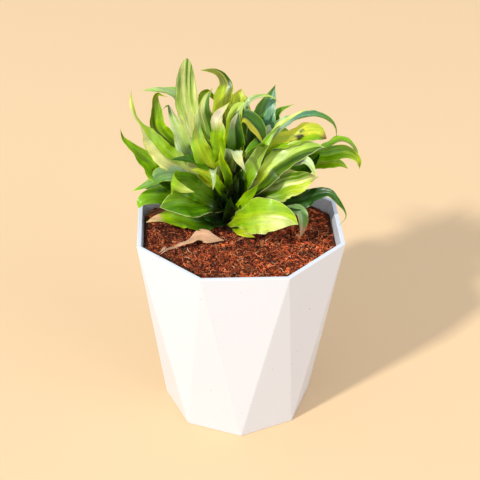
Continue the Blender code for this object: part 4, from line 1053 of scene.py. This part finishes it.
class Shreds:
    """A piece of many loose bits, each with its own tone."""

    lump_points, lump_faces = lump()

    def __init__(self):
        self.points = []
        self.faces = []
        self.tones = []

    def fibre(self, spots, radius, tone):
        """A thin fibre along the given points."""
        spots = np.array(spots)
        tangent = unit(np.gradient(spots, axis=0))
        aside = unit(np.cross(tangent, FIBRE_ASIDE))
        above = np.cross(aside, tangent)
        start = len(self.points)
        last = len(spots) - 1
        for k in range(len(spots)):
            taper = radius * (FIBRE_END if k in (0, last) else 1.0)
            for j in range(FIBRE_SIDES):
                angle = 2 * math.pi * j / FIBRE_SIDES
                out = aside[k] * math.cos(angle) + above[k] * math.sin(angle)
                self.points.append(spots[k] + out * taper)
        self.faces += bands(start, len(spots), FIBRE_SIDES)
        self.faces.append(tuple(range(start + FIBRE_SIDES - 1, start - 1, -1)))
        self.faces.append(tuple(range(start + last * FIBRE_SIDES, len(self.points))))
        self.tones += [tone] * (len(spots) * FIBRE_SIDES)

    def crumb(self, place, size, tone, draw):
        """A small angular lump."""
        start = len(self.points)
        angle = draw.uniform(0, CRUMB_SPIN)
        spin = Matrix.Rotation(angle, 3, [draw.gauss(0, 1) for _ in range(3)])
        for corner in self.lump_points:
            moved = spin @ (corner * draw.uniform(*CRUMB_CORNERS))
            self.points.append(np.array([at + step * scale for at, step, scale in zip(place, moved, size)]))
        self.faces += [tuple(start + v for v in face) for face in self.lump_faces]
        self.tones += [tone] * len(self.lump_points)

    def finish(self, name, material):
        """The finished object."""
        mesh = bpy.data.meshes.new(name)
        mesh.from_pydata((np.array(self.points) * MM).tolist(), [], self.faces)
        store(mesh, "tone", "FLOAT_COLOR", "POINT", opaque(np.array(self.tones)))
        return finished(name, mesh, material)


def make_crumbs():
    """Crumbs of husk all over the peat."""
    draw = random.Random(CRUMB_SEED)
    crumbs = Shreds()
    for _ in range(CRUMB_COUNT):
        x, y = peat_place(draw, CRUMB_INSET)
        radius = draw.choice(CRUMB_RADII)
        z = SOIL_LEVEL + fine_peat_height(x, y) + radius * draw.uniform(*CRUMB_LIFT)
        size = [radius * draw.uniform(*limits) for limits in CRUMB_SHAPE]
        tone = np.array(draw.choice(HUSK_TONES)) * patch_shade(x, y)
        crumbs.crumb((x, y, z), size, tone, draw)
    return crumbs.finish("peat_crumbs", shred_material("husk_crumb"))


def make_fibres():
    """Fibres of husk lying this way and that, a few of them pale."""
    draw = random.Random(FIBRE_SEED)
    fibres = Shreds()
    reach = RIM_FLATS / 2 - WALL - FIBRE_END_INSET
    for _ in range(FIBRE_COUNT):
        x, y = peat_place(draw, FIBRE_INSET)
        heading = draw.uniform(0, 2 * math.pi)
        bend = draw.uniform(-FIBRE_BEND, FIBRE_BEND)
        steps = draw.randint(*FIBRE_STEPS)
        stride = draw.uniform(*FIBRE_STRIDE)
        spots = []
        for k in range(steps + 1):
            raised = FIBRE_LIFT + math.sin(math.pi * k / steps) * draw.uniform(*FIBRE_ARCH)
            spots.append((x, y, SOIL_LEVEL + fine_peat_height(x, y) + raised / 2))
            heading += bend
            x += stride * math.cos(heading)
            y += stride * math.sin(heading)
            x, y = min(max(x, -reach), reach), min(max(y, -reach), reach)
            diagonal = (abs(x) + abs(y)) * math.sqrt(0.5)
            if diagonal > reach:
                x, y = x * reach / diagonal, y * reach / diagonal
        tone = draw.choice(PALE_TONES) if draw.random() < PALE_SHARE else draw.choice(HUSK_TONES[1:5])
        tone = np.array(tone) * patch_shade(*spots[0][:2])
        fibres.fibre(spots, draw.uniform(*FIBRE_RADII), tone)
    return fibres.finish("husk_fibres", shred_material("husk_fibre"))


# Plant

def between(limits, share):
    """A value at a share of the way between two limits."""
    return limits[0] + (limits[1] - limits[0]) * share


def arched(root, out, reach, rise, arch):
    """Way-points of a blade that goes out from the cane in an arch."""
    foot = Vector((*CANE_AT, root))
    return tuple(tuple(foot + out * reach * part + Vector((0, 0, rise * height))) for part, height in arch)


def back_leaves():
    """The leaves behind the cane: the low ones arch far back and down, the high ones stand up."""
    draw = random.Random(BACK_SEED)
    rows = []
    for k in range(BACK_LEAF_COUNT):
        share = k / (BACK_LEAF_COUNT - 1)
        azimuth = math.radians(BACK_SPREAD * (2 * ((k * GOLDEN_SHARE) % 1.0) - 1))
        root = between(BACK_ROOTS, share)
        reach = between(BACK_REACH, share) * draw.uniform(*BACK_REACH_SHARES)
        rise = between(BACK_RISE, share) * draw.uniform(*BACK_RISE_SHARES)
        way = arched(root, Vector((math.sin(azimuth), math.cos(azimuth), 0.0)), reach, rise, BACK_ARCH)
        facing = -FACING_UP_TURN * math.sin(azimuth)
        turns = tuple(facing + draw.uniform(-BACK_TURN, BACK_TURN) for _ in range(3))
        rows.append(leaf(root, BACK_WIDTH * draw.uniform(*BACK_WIDTH_SHARES), turns, way))
    return rows


def sheath_rows():
    """Short young sheaths round the crown, which fill it between the leaves."""
    draw = random.Random(SHEATH_SEED)
    rows = []
    for k in range(SHEATH_COUNT):
        azimuth = 2 * math.pi * GOLDEN_SHARE * k
        root = SHEATH_ROOTS[0] + SHEATH_ROOTS[1] * k / SHEATH_COUNT
        reach = draw.uniform(*SHEATH_REACH)
        rise = draw.uniform(*SHEATH_RISE)
        way = arched(root, Vector((math.sin(azimuth), -math.cos(azimuth), 0.0)), reach, rise, SHEATH_ARCH)
        rows.append(leaf(root, draw.uniform(*SHEATH_WIDTH), (0, 0, 0), way, widest=0.45, fold=35))
    return rows


def make_leaves():
    """All the foliage, in pieces by where it stands."""
    waxy = leaf_material("waxy_leaf", **WAXY_SURFACE)
    draw = random.Random(BACK_LOOK_SEED)
    groups = {
        "leaves_left": [(row, LOOKS[title]) for title, row in LEFT_LEAVES.items()],
        "leaves_middle": [(row, LOOKS[title]) for title, row in MIDDLE_LEAVES.items()],
        "leaves_right": [(row, LOOKS[title]) for title, row in RIGHT_LEAVES.items()],
        "leaves_behind": [(row, draw.choice(BACK_LOOKS)) for row in back_leaves()],
        # The crown sheaths wear the shaded_front look: they are painted near black, as painted shade in the
        # crown
        "crown_sheaths": [(row, LOOKS["shaded_front"]) for row in sheath_rows()],
        "withered_leaf": [(WITHERED_LEAF, LOOKS["withered"])],
    }
    pieces = []
    seed = 1
    for name, leaves in groups.items():
        blades = Blades()
        for row, colours in leaves:
            blades.add(row, colours, seed)
            seed += 1
        surface = leaf_material("withered", **WITHERED_SURFACE) if name == "withered_leaf" else waxy
        pieces.append(blades.finish(name, surface))
    return pieces


def make_cane():
    """The cane's foot, in bark, and the core of the crown, painted near black as shade."""
    points, tones = [], []
    for z, radius in CANE_PROFILE:
        for j in range(CANE_SIDES):
            angle = 2 * math.pi * j / CANE_SIDES
            points.append((CANE_AT[0] + radius * math.cos(angle), CANE_AT[1] + radius * math.sin(angle),
                           SOIL_LEVEL + z))
            # The core above the bark is painted shade
            tones.append(linear("bark" if z < BARK_TOP else "darkest"))
    faces = [tuple(reversed(range(CANE_SIDES))), *bands(0, len(CANE_PROFILE), CANE_SIDES),
             tuple(range(len(points) - CANE_SIDES, len(points)))]
    mesh = bpy.data.meshes.new("cane_core")
    mesh.from_pydata((np.array(points) * MM).tolist(), [], faces)
    store(mesh, "tone", "FLOAT_COLOR", "POINT", opaque(np.array(tones)))
    mesh.polygons.foreach_set("use_smooth", [True] * len(mesh.polygons))
    return finished("cane_core", mesh, shred_material("cane_bark", BARK_ROUGHNESS))


def make_dried():
    """The shed leaf on the peat, split at its tip."""
    blades = Blades()
    for row, seed, thickness in zip((DRIED_LEAF, DRIED_PRONG), DRIED_SEEDS, DRIED_THICKNESS):
        blades.add(row, DRIED_LOOK, seed, thickness=thickness, clasp=DRIED_CLASP, from_cane=False)
    return blades.finish("dried_blade", leaf_material("dry_leaf_surface", **DRY_SURFACE))


# Set

def make_camera():
    """The camera where the photo was taken from."""
    elevation, roll = math.radians(CAMERA_ELEVATION), math.radians(CAMERA_ROLL)
    ahead = Vector((0, math.cos(elevation), -math.sin(elevation)))
    right = Vector((1, 0, 0))
    up = right.cross(ahead)
    right, up = right * math.cos(roll) + up * math.sin(roll), up * math.cos(roll) - right * math.sin(roll)
    round_z = Matrix.Rotation(math.radians(CAMERA_AZIMUTH), 3, "Z")
    ahead, right, up = round_z @ ahead, round_z @ right, round_z @ up
    place = Matrix((right, up, -ahead)).transposed().to_4x4()
    place.translation = round_z @ Vector(CAMERA_TARGET) * MM - ahead * CAMERA_DISTANCE
    data = bpy.data.cameras.new("camera")
    data.sensor_width = SENSOR
    data.lens = FOCAL_PIXELS / FRAME_PIXELS * SENSOR
    data.clip_start = CLIP_START
    item = linked("camera", data)
    item.matrix_world = place
    bpy.context.scene.camera = item


def area_light(name, place, size, power, colour):
    """A soft square light aimed at the plant."""
    data = bpy.data.lights.new(name, "AREA")
    data.shape = "SQUARE"
    data.size = size
    data.energy = power
    data.color = colour
    item = linked(name, data)
    item.location = place
    towards = Vector(LIGHT_TARGET) - Vector(place)
    item.rotation_euler = towards.to_track_quat("-Z", "Y").to_euler()


def make_set():
    """Floor, world and lights."""
    mesh = bpy.data.meshes.new("floor")
    corners = [(x * FLOOR_REACH, y * FLOOR_REACH, 0) for x, y in ((-1, -1), (1, -1), (1, 1), (-1, 1))]
    mesh.from_pydata(corners, [], [(0, 1, 2, 3)])
    mesh.materials.append(Paint("pale_floor").finish({"Base Color": FLOOR_COLOUR, "Roughness": 0.9}))
    floor = linked("floor", mesh)
    world = bpy.data.worlds.new("soft_studio")
    bpy.context.scene.world = world
    world.use_nodes = True
    sky = world.node_tree.nodes["Background"]
    sky.inputs["Color"].default_value = SKY_COLOUR
    sky.inputs["Strength"].default_value = SKY_STRENGTH
    for name, values in LIGHTS.items():
        area_light(name, *values)
    bpy.context.scene.view_settings.view_transform = "Standard"


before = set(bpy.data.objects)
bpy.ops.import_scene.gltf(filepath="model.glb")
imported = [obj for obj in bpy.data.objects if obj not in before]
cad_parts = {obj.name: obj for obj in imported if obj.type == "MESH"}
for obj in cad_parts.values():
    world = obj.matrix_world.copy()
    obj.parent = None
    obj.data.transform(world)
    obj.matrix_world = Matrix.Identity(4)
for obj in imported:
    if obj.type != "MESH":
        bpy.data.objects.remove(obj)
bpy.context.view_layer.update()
make_camera()
make_set()
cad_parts["pot"].data.materials.clear()
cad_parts["pot"].data.materials.append(planter_material())
for piece in (make_peat_bed(), make_crumbs(), make_fibres()):
    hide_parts("soil")
for piece in [*make_leaves(), make_cane()]:
    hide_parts("leafy_cane")
dried = make_dried()
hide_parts("dried_leaf")
